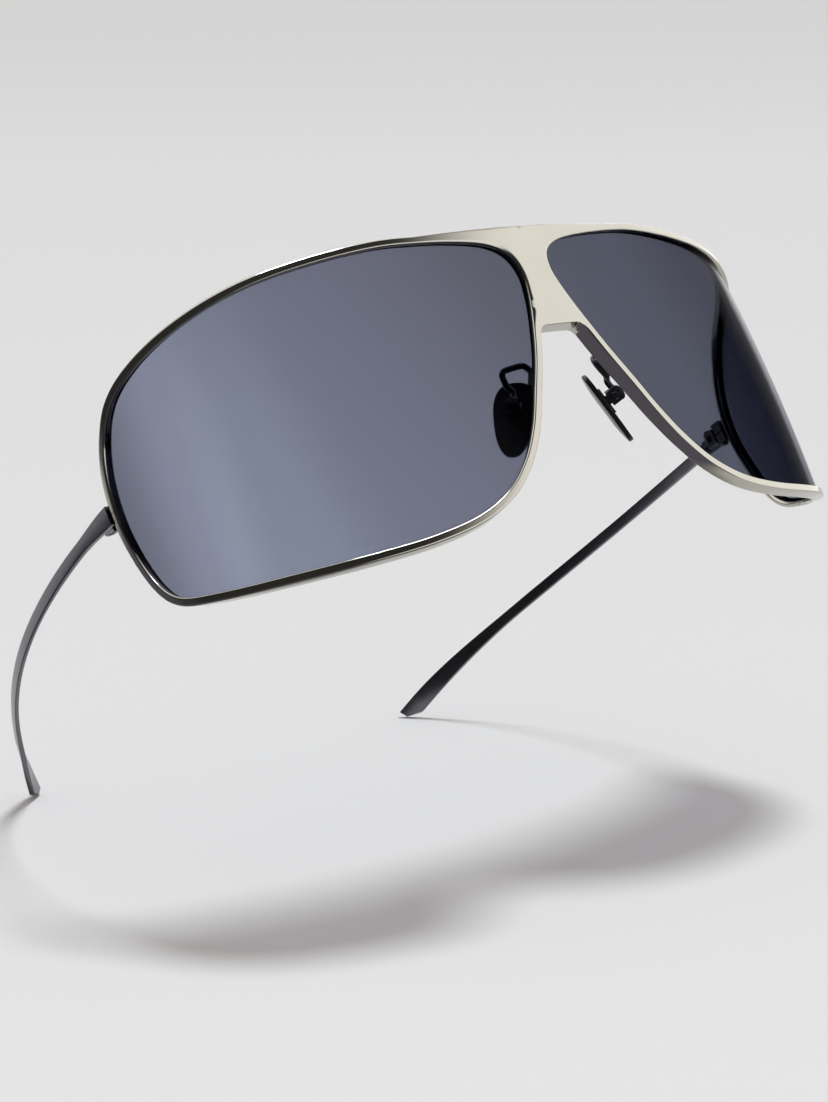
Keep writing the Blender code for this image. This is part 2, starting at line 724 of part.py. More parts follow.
def temple_size(share, root, middle, paddle):
    """A size of the temple that runs from its root over its middle to its paddle."""
    narrowed = ease((share - ROOT_END_SHARE) / (ROOT_TAPER_SHARE - ROOT_END_SHARE))
    widened = ease((share - PADDLE_START_SHARE) / (1 - PADDLE_START_SHARE))
    return root + (middle - root) * narrowed + (paddle - middle) * widened


def temple_mesh(lean):
    """Flat bar along the temple's path, twisted towards its end, which has a facet on the table."""
    level = Vector((0, -math.sin(lean), math.cos(lean)))
    end = temple_centre(1.0)
    edge = TEMPLE_EDGE
    rows = []
    for i in range(TEMPLE_STATIONS + 1):
        share = i / TEMPLE_STATIONS
        centre = temple_centre(share)
        ahead = temple_centre(min(share + TANGENT_SHARE, 1.0))
        tangent = (ahead - temple_centre(max(share - TANGENT_SHARE, 0.0))).normalized()
        across = tangent.cross(UP).normalized()
        upward = across.cross(tangent)
        twist = PADDLE_TWIST * ease((share - TWIST_START_SHARE) / (1 - TWIST_START_SHARE))
        lean_out = Quaternion(tangent, -twist)
        across, upward = lean_out @ across, lean_out @ upward
        flare = (TEMPLE_ROOT_HEIGHT - TEMPLE_HEIGHT) * ease(1 - share / FLARE_END_SHARE)
        half = (temple_size(share, TEMPLE_HEIGHT, TEMPLE_HEIGHT, PADDLE_HEIGHT) + flare) / 2
        thick = temple_size(share, TEMPLE_ROOT_THICKNESS, TEMPLE_THICKNESS, PADDLE_THICKNESS) / 2
        crease = 0.0
        if i == TEMPLE_STATIONS:
            crease = -thick * across.dot(level) / upward.dot(level)
        row = [centre + across * x + upward * z for x, z in (
            (thick, crease), (thick, half - edge), (thick - edge, half), (edge - thick, half),
            (-thick, half - edge), (-thick, -crease), (-thick, edge - half), (edge - thick, -half),
            (thick - edge, -half), (thick, edge - half))]
        if i == 0:
            row = [p + tangent * ((centre.y - p.y) / tangent.y) for p in row]
        if i == TEMPLE_STATIONS:
            row = [p + tangent * min((end - p).dot(level) / tangent.dot(level), 0.0) for p in row]
        rows.append(row)
    verts, faces = loft(rows)
    last = faces.pop(1)
    middle = len(last) // 2
    return verts, faces + [last[:middle + 1], last[middle:] + last[:1]]


# Nose pads and their fittings

PAD_MIDDLE = Vector((PAD_SIDE, PAD_BEHIND, PAD_ABOVE))
PAD_DOWN = PAD_DOWNWARD.normalized()
PAD_OUT = (PAD_FACING - PAD_DOWN * PAD_FACING.dot(PAD_DOWN)).normalized()
PAD_ACROSS = PAD_OUT.cross(PAD_DOWN)
PAD_PIVOT = (PAD_MIDDLE + PAD_DOWN * (PAD_LENGTH * (PAD_SCREW_SHARE - 0.5))
             - PAD_OUT * (PAD_THICKNESS / 2 + SEAT_GAP + INSERT_THICKNESS + LUG_REACH))
PAD_POINTS = 24


def pad_outline(inset):
    """Rounded pad, narrower below, as (down, across) points from its middle."""
    points = []
    for i in range(PAD_POINTS):
        turn = 2 * math.pi * i / PAD_POINTS
        down = math.cos(turn)
        across = math.sin(turn)
        narrow = 1 - PAD_TAPER_SHARE * (1 + down) / 2
        square = (abs(down) ** PAD_SQUARENESS + abs(across) ** PAD_SQUARENESS) ** (-1 / PAD_SQUARENESS)
        points.append((down * square * (PAD_LENGTH / 2 - inset),
                       across * square * narrow * (PAD_WIDTH / 2 - inset)))
    return points


def pad_mesh():
    back, face = -PAD_THICKNESS / 2, PAD_THICKNESS / 2
    levels = [(PAD_EDGE, back), (0.0, back + PAD_EDGE), (0.0, face - PAD_EDGE), (PAD_EDGE, face),
              (PAD_WIDTH / 4, face + PAD_CROWN * CROWN_RING_SHARE)]
    rows = []
    for inset, level in levels:
        rows.append([PAD_MIDDLE + PAD_DOWN * d + PAD_ACROSS * a + PAD_OUT * level
                     for d, a in pad_outline(inset)])
    verts, faces = loft(rows)
    crown = len(verts)
    verts.append(PAD_MIDDLE + PAD_OUT * (face + PAD_CROWN))
    last = faces.pop(1)
    faces += [(last[i], last[(i + 1) % PAD_POINTS], crown) for i in range(PAD_POINTS)]
    return verts, faces


def insert_mesh():
    """Metal insert: a plate on the pad's back with a rounded lug that the screw passes through."""
    step = LUG_REACH
    far = LUG_REACH + INSERT_THICKNESS
    foot = INSERT_LENGTH / 2
    hole = PAD_SCREW_RADIUS + RUN_GAP
    lug = arc(LUG_RADIUS, 90 * DEG, 270 * DEG, 8)
    first = len(lug) + 1
    lug += [(step / 2, -LUG_RADIUS), (step, -LUG_RADIUS), (step, 0.0), (step, LUG_RADIUS),
            (step / 2, LUG_RADIUS)]
    count = len(lug)
    hole_ring = [(a / math.hypot(a, b) * hole, b / math.hypot(a, b) * hole) for a, b in lug]
    plate = [(step, -foot), (far, -foot), (far, foot), (step, foot)]
    flat = lug + hole_ring + plate
    size = len(flat)
    verts = [PAD_PIVOT + PAD_OUT * a + PAD_DOWN * b + PAD_ACROSS * level
             for level in (-LUG_WIDTH / 2, LUG_WIDTH / 2) for a, b in flat]
    plate_ring = [first, *range(2 * count, size), first + 2]
    faces = [tuple(base + i for i in plate_ring + [first + 1]) for base in (0, size)]
    faces += [(a, b, size + b, size + a) for a, b in zip(plate_ring, plate_ring[1:])]
    for i in range(count):
        n = (i + 1) % count
        faces.append((count + i, count + n, size + count + n, size + count + i))
        faces += [(base + i, base + n, base + count + n, base + count + i) for base in (0, size)]
        if i not in (first, first + 1):
            faces.append((i, n, size + n, size + i))
    return verts, faces


def pad_box_mesh():
    """Box on the arm's end: two ears beside the lug and a back between them."""
    inner = LUG_WIDTH / 2 + RUN_GAP
    outer = inner + BOX_EAR
    half = BOX_LENGTH / 2
    back = -(LUG_RADIUS + FOLD_GAP)
    front = (LUG_REACH - SEAT_GAP - half * math.sin(PAD_ROCK_LIMIT)) / math.cos(PAD_ROCK_LIMIT)
    outline = box_outline(front, half, back)
    hole = PAD_SCREW_RADIUS + RUN_GAP
    return slotted_prism(outline, back, hole, inner, outer, PAD_PIVOT, PAD_OUT, PAD_DOWN, PAD_ACROSS)


def box_outline(front, half, back):
    """Side of the box: straight towards the pad, rounded behind."""
    points = [(front, -half / 2), (front, 0.0), (front, half / 2), (front, half), (0.0, half)]
    points += [(back - BOX_BACK * b, half * a) for a, b in arc(1.0, 0.0, math.pi, 8)]
    points += [(0.0, -half), (front, -half)]
    return points


def arm_mesh():
    """Bent wire: along the rim's back, up and over, and down into the top of the pad box."""
    behind = SEAT_GAP + ARM_RADIUS
    base = [(along * PAD_SIDE, height * PAD_ABOVE) for along, height in ARM_BASE_SHARES]
    path = [face_point(along, height, depth_at(along) + behind) for along, height in base]
    path += [Vector((x * PAD_SIDE, y * PAD_BEHIND, z * PAD_ABOVE)) for x, y, z in ARM_BEND_SHARES]
    end = PAD_PIVOT - PAD_DOWN * (BOX_LENGTH / 2 + SEAT_GAP) - PAD_OUT * ARM_BOX_OFFSET
    path = smooth_path([*path, end - PAD_DOWN * (2 * ARM_RADIUS), end], 4)
    rows = []
    side = Vector((1, 0, 0))
    for i, centre in enumerate(path):
        tangent = (path[min(i + 1, len(path) - 1)] - path[max(i - 1, 0)]).normalized()
        if i == len(path) - 1:
            tangent = PAD_DOWN
        side = (side - tangent * side.dot(tangent)).normalized()
        other = tangent.cross(side)
        rows.append([centre + (side * math.cos(t) + other * math.sin(t)) * ARM_RADIUS
                     for t in (2 * math.pi * k / ARM_SIDES for k in range(ARM_SIDES))])
    return loft(rows)


def smooth_path(points, steps):
    """Points of a smooth curve through the given points."""
    path = []
    for i in range(len(points) - 1):
        p0, p1 = points[max(i - 1, 0)], points[i]
        p2, p3 = points[i + 1], points[min(i + 2, len(points) - 1)]
        for k in range(steps):
            t = k / steps
            path.append(p1 * (1 - 2.5 * t * t + 1.5 * t ** 3) + p0 * (-t / 2 + t * t - t ** 3 / 2)
                        + p2 * (t / 2 + 2 * t * t - 1.5 * t ** 3) + p3 * ((t ** 3 - t * t) / 2))
    path.append(points[-1])
    return path


def add_pad(build, name, side, metal, screw_metal, pad_material):
    carrier = f"{name}_pad_pivot"
    build.carrier(carrier, mirrored(([PAD_PIVOT], []), side)[0][0])
    build.add(f"{name}_pad_arm", mirrored(arm_mesh(), side), metal, smooth=True)
    build.add(f"{name}_pad_box", mirrored(pad_box_mesh(), side), metal)
    length = LUG_WIDTH + 2 * RUN_GAP + 2 * BOX_EAR + SEAT_GAP
    head = PAD_PIVOT + PAD_ACROSS * (length / 2 + SEAT_GAP)
    profile = screw_profile(PAD_SCREW_RADIUS, PAD_HEAD_RADIUS, PAD_HEAD_HEIGHT, length)
    screw = revolve(profile, head, PAD_OUT, PAD_DOWN, PAD_ACROSS)
    build.add(f"{name}_pad_screw", mirrored(screw, side), screw_metal, smooth=True)
    build.add(f"{name}_pad_insert", mirrored(insert_mesh(), side), metal, carrier=carrier)
    pad = mirrored(pad_mesh(), side)
    build.add(f"{name}_nose_pad", pad, pad_material, carrier=carrier, smooth=True)


def table_lean():
    """Lean at which the rims' lower edges and the temples' ends touch one table."""
    end = temple_centre(1.0)
    slopes = []
    for place in rim_places():
        for depth in (RIM_EDGE, RIM_DEPTH - RIM_EDGE):
            edge = outer_edge(place)
            point = face_point(edge.x, edge.y, depth)
            slopes.append((end.z - point.z) / (end.y - point.y))
    return math.atan(max(slopes))


def set_down(build, lean):
    """Turn the glasses by the lean, and put the origin under the middle of their box."""
    end = temple_centre(1.0)
    level = end.z * math.cos(lean) - end.y * math.sin(lean)
    build.stance.rotation_euler = (-lean, 0, 0)
    build.stance.location = (0, 0, -level)
    bpy.context.view_layer.update()
    reach = [(part.matrix_world @ v.co).y for part in bpy.data.objects
             if part.type == "MESH" and not part.hide_render for v in part.data.vertices]
    build.stance.location.y = -(min(reach) + max(reach)) / 2
    bpy.context.view_layer.update()


def main():
    clear_scene()
    metal = make_material("polished_metal", (0.66, 0.63, 0.56), 0.2, 1.0)
    dark_metal = make_material("dark_metal", (0.09, 0.09, 0.10), 0.35, 1.0)
    lens_tint = make_material("lens_tint", (0.12, 0.13, 0.16), 0.05, 0.0, alpha=0.85)
    pad_rubber = make_material("pad_rubber", (0.02, 0.02, 0.022), 0.5, 0.0)
    build = Build()
    lean = table_lean()
    add_front(build, metal)
    for name, side in SIDES.items():
        pivot = mirrored(([PIVOT], []), side)[0][0]
        build.carrier(f"{name}_temple_pivot", pivot)
        build.add(f"{name}_lens", lens_mesh(side), lens_tint, smooth=True)
        add_rim_lock(build, name, side, dark_metal, dark_metal)
        add_hinge(build, name, side, dark_metal, dark_metal)
        carrier = f"{name}_temple_pivot"
        build.add(f"{name}_hinge_foot", mirrored(foot_mesh(), side), dark_metal, carrier=carrier)
        temple = mirrored(temple_mesh(lean), side)
        build.add(f"{name}_temple", temple, dark_metal, carrier=carrier, smooth=True)
        add_pad(build, name, side, dark_metal, dark_metal, pad_rubber)
    set_down(build, lean)
    for name in SIDES:
        for kind, axis in (("temple_pivot", UP), ("pad_pivot", PAD_ACROSS)):
            place = bpy.data.objects[f"{name}_{kind}"].matrix_world
            direction = mirrored(([axis], []), SIDES[name])[0][0]
            turned = place.to_3x3() @ direction
            print(f"{name}_{kind}", [round(c, 5) for c in place.translation], [round(c, 4) for c in turned])


main()
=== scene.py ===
"""Looks for the sunglasses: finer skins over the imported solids, materials, camera, floor and light.

The front, lenses, temples, nose pads and pad arms follow the same formulas as the CAD source,
with more points. They are made upright in the front's own frame (x to the wearer's left,
y back, z up) and are then set down like the CAD model. Lengths are in metres.
"""
import math

import bmesh
import bpy
from mathutils import Matrix, Quaternion, Vector


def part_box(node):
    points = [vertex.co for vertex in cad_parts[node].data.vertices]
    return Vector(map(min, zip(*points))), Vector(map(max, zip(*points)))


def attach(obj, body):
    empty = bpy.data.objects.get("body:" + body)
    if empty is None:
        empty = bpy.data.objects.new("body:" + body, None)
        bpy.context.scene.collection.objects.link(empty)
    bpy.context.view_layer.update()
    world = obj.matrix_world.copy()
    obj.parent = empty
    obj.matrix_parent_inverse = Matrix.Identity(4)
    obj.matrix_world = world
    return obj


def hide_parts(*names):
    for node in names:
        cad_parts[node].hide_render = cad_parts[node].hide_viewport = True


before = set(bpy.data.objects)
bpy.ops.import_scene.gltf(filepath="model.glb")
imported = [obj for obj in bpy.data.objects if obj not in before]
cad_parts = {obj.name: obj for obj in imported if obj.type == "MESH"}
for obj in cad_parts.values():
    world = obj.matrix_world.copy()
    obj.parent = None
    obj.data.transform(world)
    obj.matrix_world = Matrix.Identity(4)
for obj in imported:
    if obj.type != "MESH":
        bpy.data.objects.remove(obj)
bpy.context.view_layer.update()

MM = 0.001
DEG = math.pi / 180
UP = Vector((0, 0, 1))
BACK = Vector((0, 1, 0))
INWARD = Vector((-1, 0, 0))
SIDES = {"right": -1, "left": 1}

# Front
HALF_SPAN = 92.3 * MM
FRONT_HEIGHT = 53.3 * MM
FRONT_RADIUS = 155.0 * MM
WRAP_RADIUS = 30.0 * MM
WRAP_START = 42.5 * MM
WRAP_FULL = 66.0 * MM
UPRIGHT_RADIUS = 380.0 * MM
UPRIGHT_CENTRE_SHARE = 0.56
RIM_WIDTH = 1.4 * MM
RIM_DEPTH = 2.4 * MM
RIM_EDGE = 0.15 * MM
GROOVE_DEPTH = 0.6 * MM
GROOVE_WIDTH = 1.2 * MM
FRONT_LIP = 0.7 * MM
BACK_LIP = 0.08 * MM
BACK_LIP_INSET = 0.4 * MM
RIM_SLOT = 0.12 * MM
BRIDGE_DEPTH = 3.0 * MM
BRIDGE_HALF_WIDTH = 6.0 * MM
BRIDGE_FADE = 14.0 * MM
BRIDGE_TOP_SHARE = 0.988
NOTCH_TOP = 33.15 * MM
NOTCH_HALF_WIDTH = 4.8 * MM
NOTCH_CORNER = 1.5 * MM
POCKET_DEPTH = 1.7 * MM
POCKET_WALL = 1.3 * MM
LENS_GAP = 0.1 * MM
HINGE_HEIGHT = 26.2 * MM

# Temple
TEMPLE_REACH = 91.3 * MM
TEMPLE_PROUD = 0.45 * MM
TEMPLE_ROOT_THICKNESS = 1.1 * MM
TEMPLE_THICKNESS = 0.8 * MM
PADDLE_THICKNESS = 1.1 * MM
TEMPLE_ROOT_HEIGHT = 3.3 * MM
TEMPLE_HEIGHT = 2.2 * MM
PADDLE_HEIGHT = 3.7 * MM
PADDLE_TWIST = 22.0 * DEG
TEMPLE_EDGE = 0.2 * MM
TIP_INSET = 26.7 * MM
TEMPLE_FALL = 10.75 * MM
TIP_DROP = 5.8 * MM
INSET_POWER = 2.31
FALL_POWER = 1.48
DROP_POWER = 6.4
FLARE_END_SHARE = 0.13
ROOT_END_SHARE = 0.1
ROOT_TAPER_SHARE = 0.4
PADDLE_START_SHARE = 0.7
TWIST_START_SHARE = 0.84
TANGENT_SHARE = 0.002
FOLD_GAP = 0.2 * MM

# Nose pad and its arm: the arm's bends are shares of the pad's place to the side, behind and above
PAD_SIDE = 10.8 * MM
PAD_BEHIND = 8.7 * MM
PAD_ABOVE = 20.45 * MM
PAD_DOWNWARD = Vector((0.441, 0.114, -0.890))
PAD_FACING = Vector((-0.657, 0.723, -0.213))
PAD_LENGTH = 14.0 * MM
PAD_WIDTH = 8.8 * MM
PAD_THICKNESS = 0.9 * MM
PAD_CROWN = 0.4 * MM
PAD_EDGE = 0.25 * MM
PAD_TAPER_SHARE = 0.4
PAD_SCREW_SHARE = 0.42
PAD_SQUARENESS = 2.5
INSERT_THICKNESS = 0.3 * MM
LUG_REACH = 1.45 * MM
BOX_LENGTH = 2.7 * MM
SEAT_GAP = 0.1 * MM
ARM_RADIUS = 0.55 * MM
ARM_BOX_OFFSET = 0.4 * MM
ARM_BASE_SHARES = [(0.852, 1.174), (0.731, 1.291)]
ARM_BEND_SHARES = [
    (0.725, 0.483, 1.352), (0.785, 0.525, 1.380), (0.98, 0.645, 1.384), (1.06, 0.69, 1.375),
    (1.095, 0.715, 1.342), (1.085, 0.73, 1.295), (1.065, 0.745, 1.245)]

# The lens opening: shares of the half span outwards, and of the height upwards
OPENING_SHARES = [
    (0.325, 0.973), (0.455, 0.963), (0.585, 0.939), (0.715, 0.894), (0.823, 0.840), (0.899, 0.778),
    (0.946, 0.688), (0.975, 0.581), (0.985, 0.459), (0.975, 0.327), (0.951, 0.211), (0.915, 0.142),
    (0.850, 0.099), (0.758, 0.061), (0.650, 0.035), (0.542, 0.025), (0.433, 0.029), (0.336, 0.055),
    (0.260, 0.112), (0.204, 0.196), (0.161, 0.297), (0.126, 0.410), (0.093, 0.522), (0.065, 0.639),
    (0.046, 0.736), (0.037, 0.823), (0.050, 0.890), (0.091, 0.930), (0.163, 0.952), (0.238, 0.965)]
LENS_CENTRE_SHARES = (0.52, 0.50)

# Places along the opening, counted in its points
AT_SIDE_START = 6.0
AT_SIDE_END = 11.0
AT_POCKET_LOW = 20.6
AT_POCKET_HIGH = 26.1
AT_NOTCH_START = 22.6
AT_NOTCH_FLAT = 23.0
AT_MIDDLE_LOW = 23.4
AT_MIDDLE_HIGH = 26.6
AT_BRIDGE_END = 29.0
EDGE_STEP = 0.05
SAME_PLACE = 1e-6

# How fine the skins are, and how they are shaded
RUN_STEPS = 2400
RUN_SHARE = 1.1
SIDE_STEPS = 400
HALVINGS = 40
PLACES_PER_POINT = 10
FACE_STRIPS = 6
POCKET_ROWS = 24
LENS_RINGS = 24
TEMPLE_STATIONS = 120
EDGE_STEPS = 4
PAD_POINTS = 64
CROWN_RINGS = 8
ARM_SIDES = 20
ARM_STEPS = 14
SHARP_ANGLE = 40 * DEG
FRONT_SHARP_ANGLE = 60 * DEG
FACE_AREA_WEIGHT = 100

# Metals and rubber: the colours and roughnesses that each varies between, and its grain's strength
FRONT_METAL = ((0.45, 0.43, 0.375), (0.48, 0.46, 0.40), (0.09, 0.13), 0.04)
TEMPLE_METAL = ((0.135, 0.13, 0.145), (0.17, 0.164, 0.18), (0.22, 0.28), 0.12)
FITTING_METAL = ((0.10, 0.10, 0.105), (0.14, 0.14, 0.147), (0.2, 0.28), 0.1)
RUBBER = ((0.008, 0.008, 0.010), (0.014, 0.014, 0.017), (0.13, 0.19), 0.05)
RUBBER_SPECULAR = 0.25

# Noise, as scale and detail, for the slow change in tone and for the grain
METAL_CLOUD = (90, 4)
METAL_GRAIN = (2600, 3)
RUBBER_CLOUD = (260, 3)
RUBBER_GRAIN = (900, 2)
CLOUD_SPAN = (0.3, 0.7)
GRAIN_HEIGHT = 0.02 * MM

# What one face of a lens lets through and mirrors, from head on (0) to edge on (1)
LENS_TINTS = [
    (0.0, (0.548, 0.579, 0.656)), (0.06, (0.526, 0.556, 0.631)), (0.12, (0.474, 0.490, 0.566)),
    (0.18, (0.452, 0.464, 0.538)), (0.30, (0.392, 0.402, 0.460)), (0.42, (0.351, 0.363, 0.420)),
    (0.50, (0.345, 0.358, 0.416)), (0.61, (0.308, 0.316, 0.371)), (1.0, (0.170, 0.170, 0.210))]
LENS_GLOSS = [
    (0.0, 0.02), (0.1, 0.014), (0.25, 0.0), (0.63, 0.0), (0.7, 0.012), (0.78, 0.04), (0.88, 0.3), (1.0, 1.0)]
LENS_ROUGHNESS = 0.03
LAYER_BLEND = 0.5

# Painted light: towards its outer end the lens is tinted less, so that it looks lighter there, from and to
# these distances from the middle
LENS_PAINTED_LIGHT_SPAN = (0.060, 0.0695)
LENS_PAINTED_LIGHT_SHARE = 0.2

# Camera: its turns, a point of the object, its place from there (to its right, up and back), and
# its focal length in pixels of a picture of this height
AZIMUTH, ELEVATION, ROLL = -40.799 * DEG, -12.167 * DEG, -19.515 * DEG
AIM = Vector((0.0, -40.047, 25.212)) * MM
OFFSET = (-14.081 * MM, -21.177 * MM, 487.931 * MM)
SENSOR = 36.0
FOCAL_PIXELS = 2811.671
PICTURE_HEIGHT = 1102
CLIP = (0.01, 200.0)

# Floor: roughly the way that it faces, how steeply the picture's lower edge is seen, and the
# tones that run from the horizon (0) to that edge (1): pale paper with painted shade, darker towards the
# horizon
FLOOR_HALF_SIZE = 60.0
FLOOR_GAP = 0.02 * MM
FLOOR_FACES = Vector((0, -0.5, 0.866))
LOWER_EDGE_SLOPE = -0.19
FLOOR_PAINTED_SHADE_TONES = [
    (0.0, (0.67, 0.665, 0.665)), (0.13, (0.745, 0.745, 0.755)), (0.3, (0.77, 0.775, 0.78)),
    (0.63, (0.80, 0.81, 0.815)), (1.0, (0.825, 0.83, 0.835))]
FLOOR_ROUGHNESS = 0.9
FLOOR_SPECULAR = 0.1

# In mirrored light the floor ends at a painted dark patch, a painted reflection of shade where no dark thing
# stands:
# the way to it, the span over which it begins, and its tones along that way
PAINTED_MIRROR_SHADE_WAY = Vector((-1, -1, 0))
PAINTED_MIRROR_SHADE_SPAN = (0.008, 0.042)
PAINTED_MIRROR_SHADE_TONES = [(0.1, (0.145, 0.138, 0.185)), (0.4, (0.06, 0.06, 0.07))]

# The sun, and the room's even light on everything matt
SUN_ENERGY = 0.56 * math.pi
SUN_ANGLE = 14 * DEG
SUN_COLOUR = (0.965, 1.0, 1.045)
SUN_FROM = Vector((0.21, -0.45, 0.867))
EVEN_COLOUR = (0.80, 0.745, 0.70)
EVEN_LIGHT = 0.54

# What the camera sees past the floor, and what mirrors see instead: a bright wall to one side, a
# pale backdrop behind and a bright ceiling, each as a direction, a span of how far a ray points
# that way, over which it fades in, and its light. The rest is a dark side.
BACKDROP = (0.665, 0.657, 0.655)
WALL_LIGHT = 1.45
BACKDROP_LIGHT = 0.85
MIRRORED_ROOM = [
    ((1, 0, -0.6), (0.08, 0.36), WALL_LIGHT),
    ((0.2, 1, 0), (0.74, 0.94), BACKDROP_LIGHT),
    ((0, 0, 1), (0.62, 0.85), WALL_LIGHT)]
DARK_SIDE = 0.04


def ease(share):
    """Smooth step from 0 to 1."""
    share = min(max(share, 0.0), 1.0)
    return share * share * (3 - 2 * share)


def through(p0, p1, p2, p3, t):
    """Point at t on the smooth curve from p1 to p2, with a neighbour on each side."""
    return (p0 * (-t / 2 + t * t - t ** 3 / 2) + p1 * (1 - 2.5 * t * t + 1.5 * t ** 3)
            + p2 * (t / 2 + 2 * t * t - 1.5 * t ** 3) + p3 * ((t ** 3 - t * t) / 2))


def spread(start, end, count):
    """Evenly spaced places from start up to, and without, end."""
    return [start + (end - start) * i / count for i in range(count)]


def mirrored(point, side):
    """Point of the left half, or its mirror image where the side is -1."""
    return Vector((side * point.x, point.y, point.z))


# The front's face

def run_table():
    """Points of the face's horizontal run: for each step the place and the direction."""
    step = HALF_SPAN * RUN_SHARE / RUN_STEPS
    x, y, turn = 0.0, 0.0, 0.0
    rows = []
    for i in range(RUN_STEPS + 1):
        rows.append((x, y, turn))
        wrap = ease(((i + 0.5) * step - WRAP_START) / (WRAP_FULL - WRAP_START))
        bend = 1 / FRONT_RADIUS + (1 / WRAP_RADIUS - 1 / FRONT_RADIUS) * wrap
        middle = turn + bend * step / 2
        x += math.cos(middle) * step
        y += math.sin(middle) * step
        turn += bend * step
    return rows, step


RUN, RUN_STEP = run_table()


def face_point(along, height, depth=0.0):
    """Point of the left half, at a distance along the run, a height and a depth behind the face."""
    place = max(along / RUN_STEP, 0.0)
    i = min(int(place), RUN_STEPS - 1)
    x, y, turn = [a + (b - a) * (place - i) for a, b in zip(RUN[i], RUN[i + 1])]
    from_centre = height - UPRIGHT_CENTRE_SHARE * FRONT_HEIGHT
    inward = depth + from_centre * from_centre / (2 * UPRIGHT_RADIUS)
    return Vector((x - math.sin(turn) * inward, y + math.cos(turn) * inward, height))


def opening_at(place):
    """The opening's outline at a place counted in its points, as along and height."""
    i = math.floor(place)
    ring = [Vector(OPENING_SHARES[(i + k) % len(OPENING_SHARES)]) for k in (-1, 0, 1, 2)]
    point = through(*ring, place - i)
    return Vector((point.x * HALF_SPAN, point.y * FRONT_HEIGHT))


def outward_at(place):
    """Direction across the rim, away from the lens, at a place along the opening."""
    tangent = (opening_at(place + EDGE_STEP) - opening_at(place - EDGE_STEP)).normalized()
    return Vector((-tangent.y, tangent.x))


def offset_at(place, distance):
    """Point at a distance outwards from a place along the opening."""
    return opening_at(place) + outward_at(place) * distance


def place_at_height(lower, upper, height):
    """Place along the opening, between a lower and an upper place, where it passes a height."""
    for _ in range(HALVINGS):
        middle = (lower + upper) / 2
        if opening_at(middle).y > height:
            upper = middle
        else:
            lower = middle
    return (lower + upper) / 2


AT_HINGE = place_at_height(AT_SIDE_END, AT_SIDE_START, HINGE_HEIGHT)


def rim_places():
    """Places along the opening from below the slot round to above it."""
    speed = (opening_at(AT_HINGE + EDGE_STEP) - opening_at(AT_HINGE - EDGE_STEP)).length / (2 * EDGE_STEP)
    half_slot = RIM_SLOT / 2 / speed
    last = AT_HINGE - half_slot + len(OPENING_SHARES)
    stops = [AT_HINGE + half_slot, AT_NOTCH_START, AT_NOTCH_FLAT, AT_MIDDLE_LOW, AT_MIDDLE_LOW + EDGE_STEP,
             AT_MIDDLE_HIGH - EDGE_STEP, AT_MIDDLE_HIGH, AT_BRIDGE_END, last]
    counts = [math.ceil(PLACES_PER_POINT * (b - a)) for a, b in zip(stops, stops[1:])]
    # More at the notch, and just one in each short step beside the middle
    counts[1:4] = 2 * PLACES_PER_POINT, PLACES_PER_POINT, 1
    counts[5] = 1
    places = []
    for a, b, count in zip(stops, stops[1:], counts):
        places += spread(a, b, count)
    return places + [last]


PLACES = rim_places()


def outer_edge(place):
    """The front's outer edge beside a place along the opening: the rim's, or the bridge plate's."""
    top = BRIDGE_TOP_SHARE * FRONT_HEIGHT
    flat_end = Vector((NOTCH_HALF_WIDTH - NOTCH_CORNER, NOTCH_TOP))
    if AT_NOTCH_START < place < AT_NOTCH_FLAT:
        corner = Vector((NOTCH_HALF_WIDTH, NOTCH_TOP))
        t = (place - AT_NOTCH_START) / (AT_NOTCH_FLAT - AT_NOTCH_START)
        rise = offset_at(AT_NOTCH_START, RIM_WIDTH).lerp(corner, t)
        return rise.lerp(corner.lerp(flat_end, t), t)
    stations = [
        (AT_NOTCH_FLAT, flat_end),
        (AT_MIDDLE_LOW, Vector((0.0, NOTCH_TOP))),
        (AT_MIDDLE_LOW + EDGE_STEP, Vector((0.0, NOTCH_TOP + RIM_EDGE))),
        (AT_MIDDLE_HIGH - EDGE_STEP, Vector((0.0, top - RIM_EDGE))),
        (AT_MIDDLE_HIGH, Vector((0.0, top))),
        (AT_BRIDGE_END, offset_at(AT_BRIDGE_END, RIM_WIDTH))]
    for (a, start), (b, end) in zip(stations, stations[1:]):
        if a <= place < b:
            return start.lerp(end, (place - a) / (b - a))
    return offset_at(place, RIM_WIDTH)


def on_middle(place):
    """True where the half front meets its mirror image with no outer edge between."""
    return AT_MIDDLE_LOW + SAME_PLACE < place < AT_MIDDLE_HIGH - SAME_PLACE


def at_middle(place):
    """True where the outer edge lies on the front's middle, its two ends included."""
    return AT_MIDDLE_LOW - SAME_PLACE < place < AT_MIDDLE_HIGH + SAME_PLACE


def depth_at(along):
    """Depth of the front: the bridge plate's in the middle, fading out to the rims'."""
    return BRIDGE_DEPTH + (RIM_DEPTH - BRIDGE_DEPTH) * ease((along - BRIDGE_HALF_WIDTH) / BRIDGE_FADE)


def rim_section(place):
    """Closed section of the half front at a place, as (along, height, depth) points."""
    inner = opening_at(place)
    outward = outward_at(place)
    outer = outer_edge(place)
    edge = 0.0 if on_middle(place) else RIM_EDGE
    face_in = inner + outward * RIM_EDGE
    face_out = outer + (inner - outer).normalized() * RIM_EDGE
    groove = inner + outward * GROOVE_DEPTH
    groove_back = FRONT_LIP + GROOVE_WIDTH
    lip = inner + outward * BACK_LIP_INSET
    back_in = lip + outward * (depth_at(inner.x) - groove_back - BACK_LIP)
    shares = [i / FACE_STRIPS for i in range(FACE_STRIPS + 1)]
    back = [back_in.lerp(face_out, share) for share in reversed(shares)]
    flat = [(inner, RIM_EDGE)] + [(face_in.lerp(face_out, share), 0.0) for share in shares]
    flat += [(outer, edge), (outer, depth_at(outer.x) - edge)]
    flat += [(p, depth_at(p.x)) for p in back]
    flat += [(lip, groove_back + BACK_LIP), (lip, groove_back), (groove, groove_back),
             (groove, FRONT_LIP), (inner, FRONT_LIP)]
    return [(p.x, p.y, depth) for p, depth in flat]


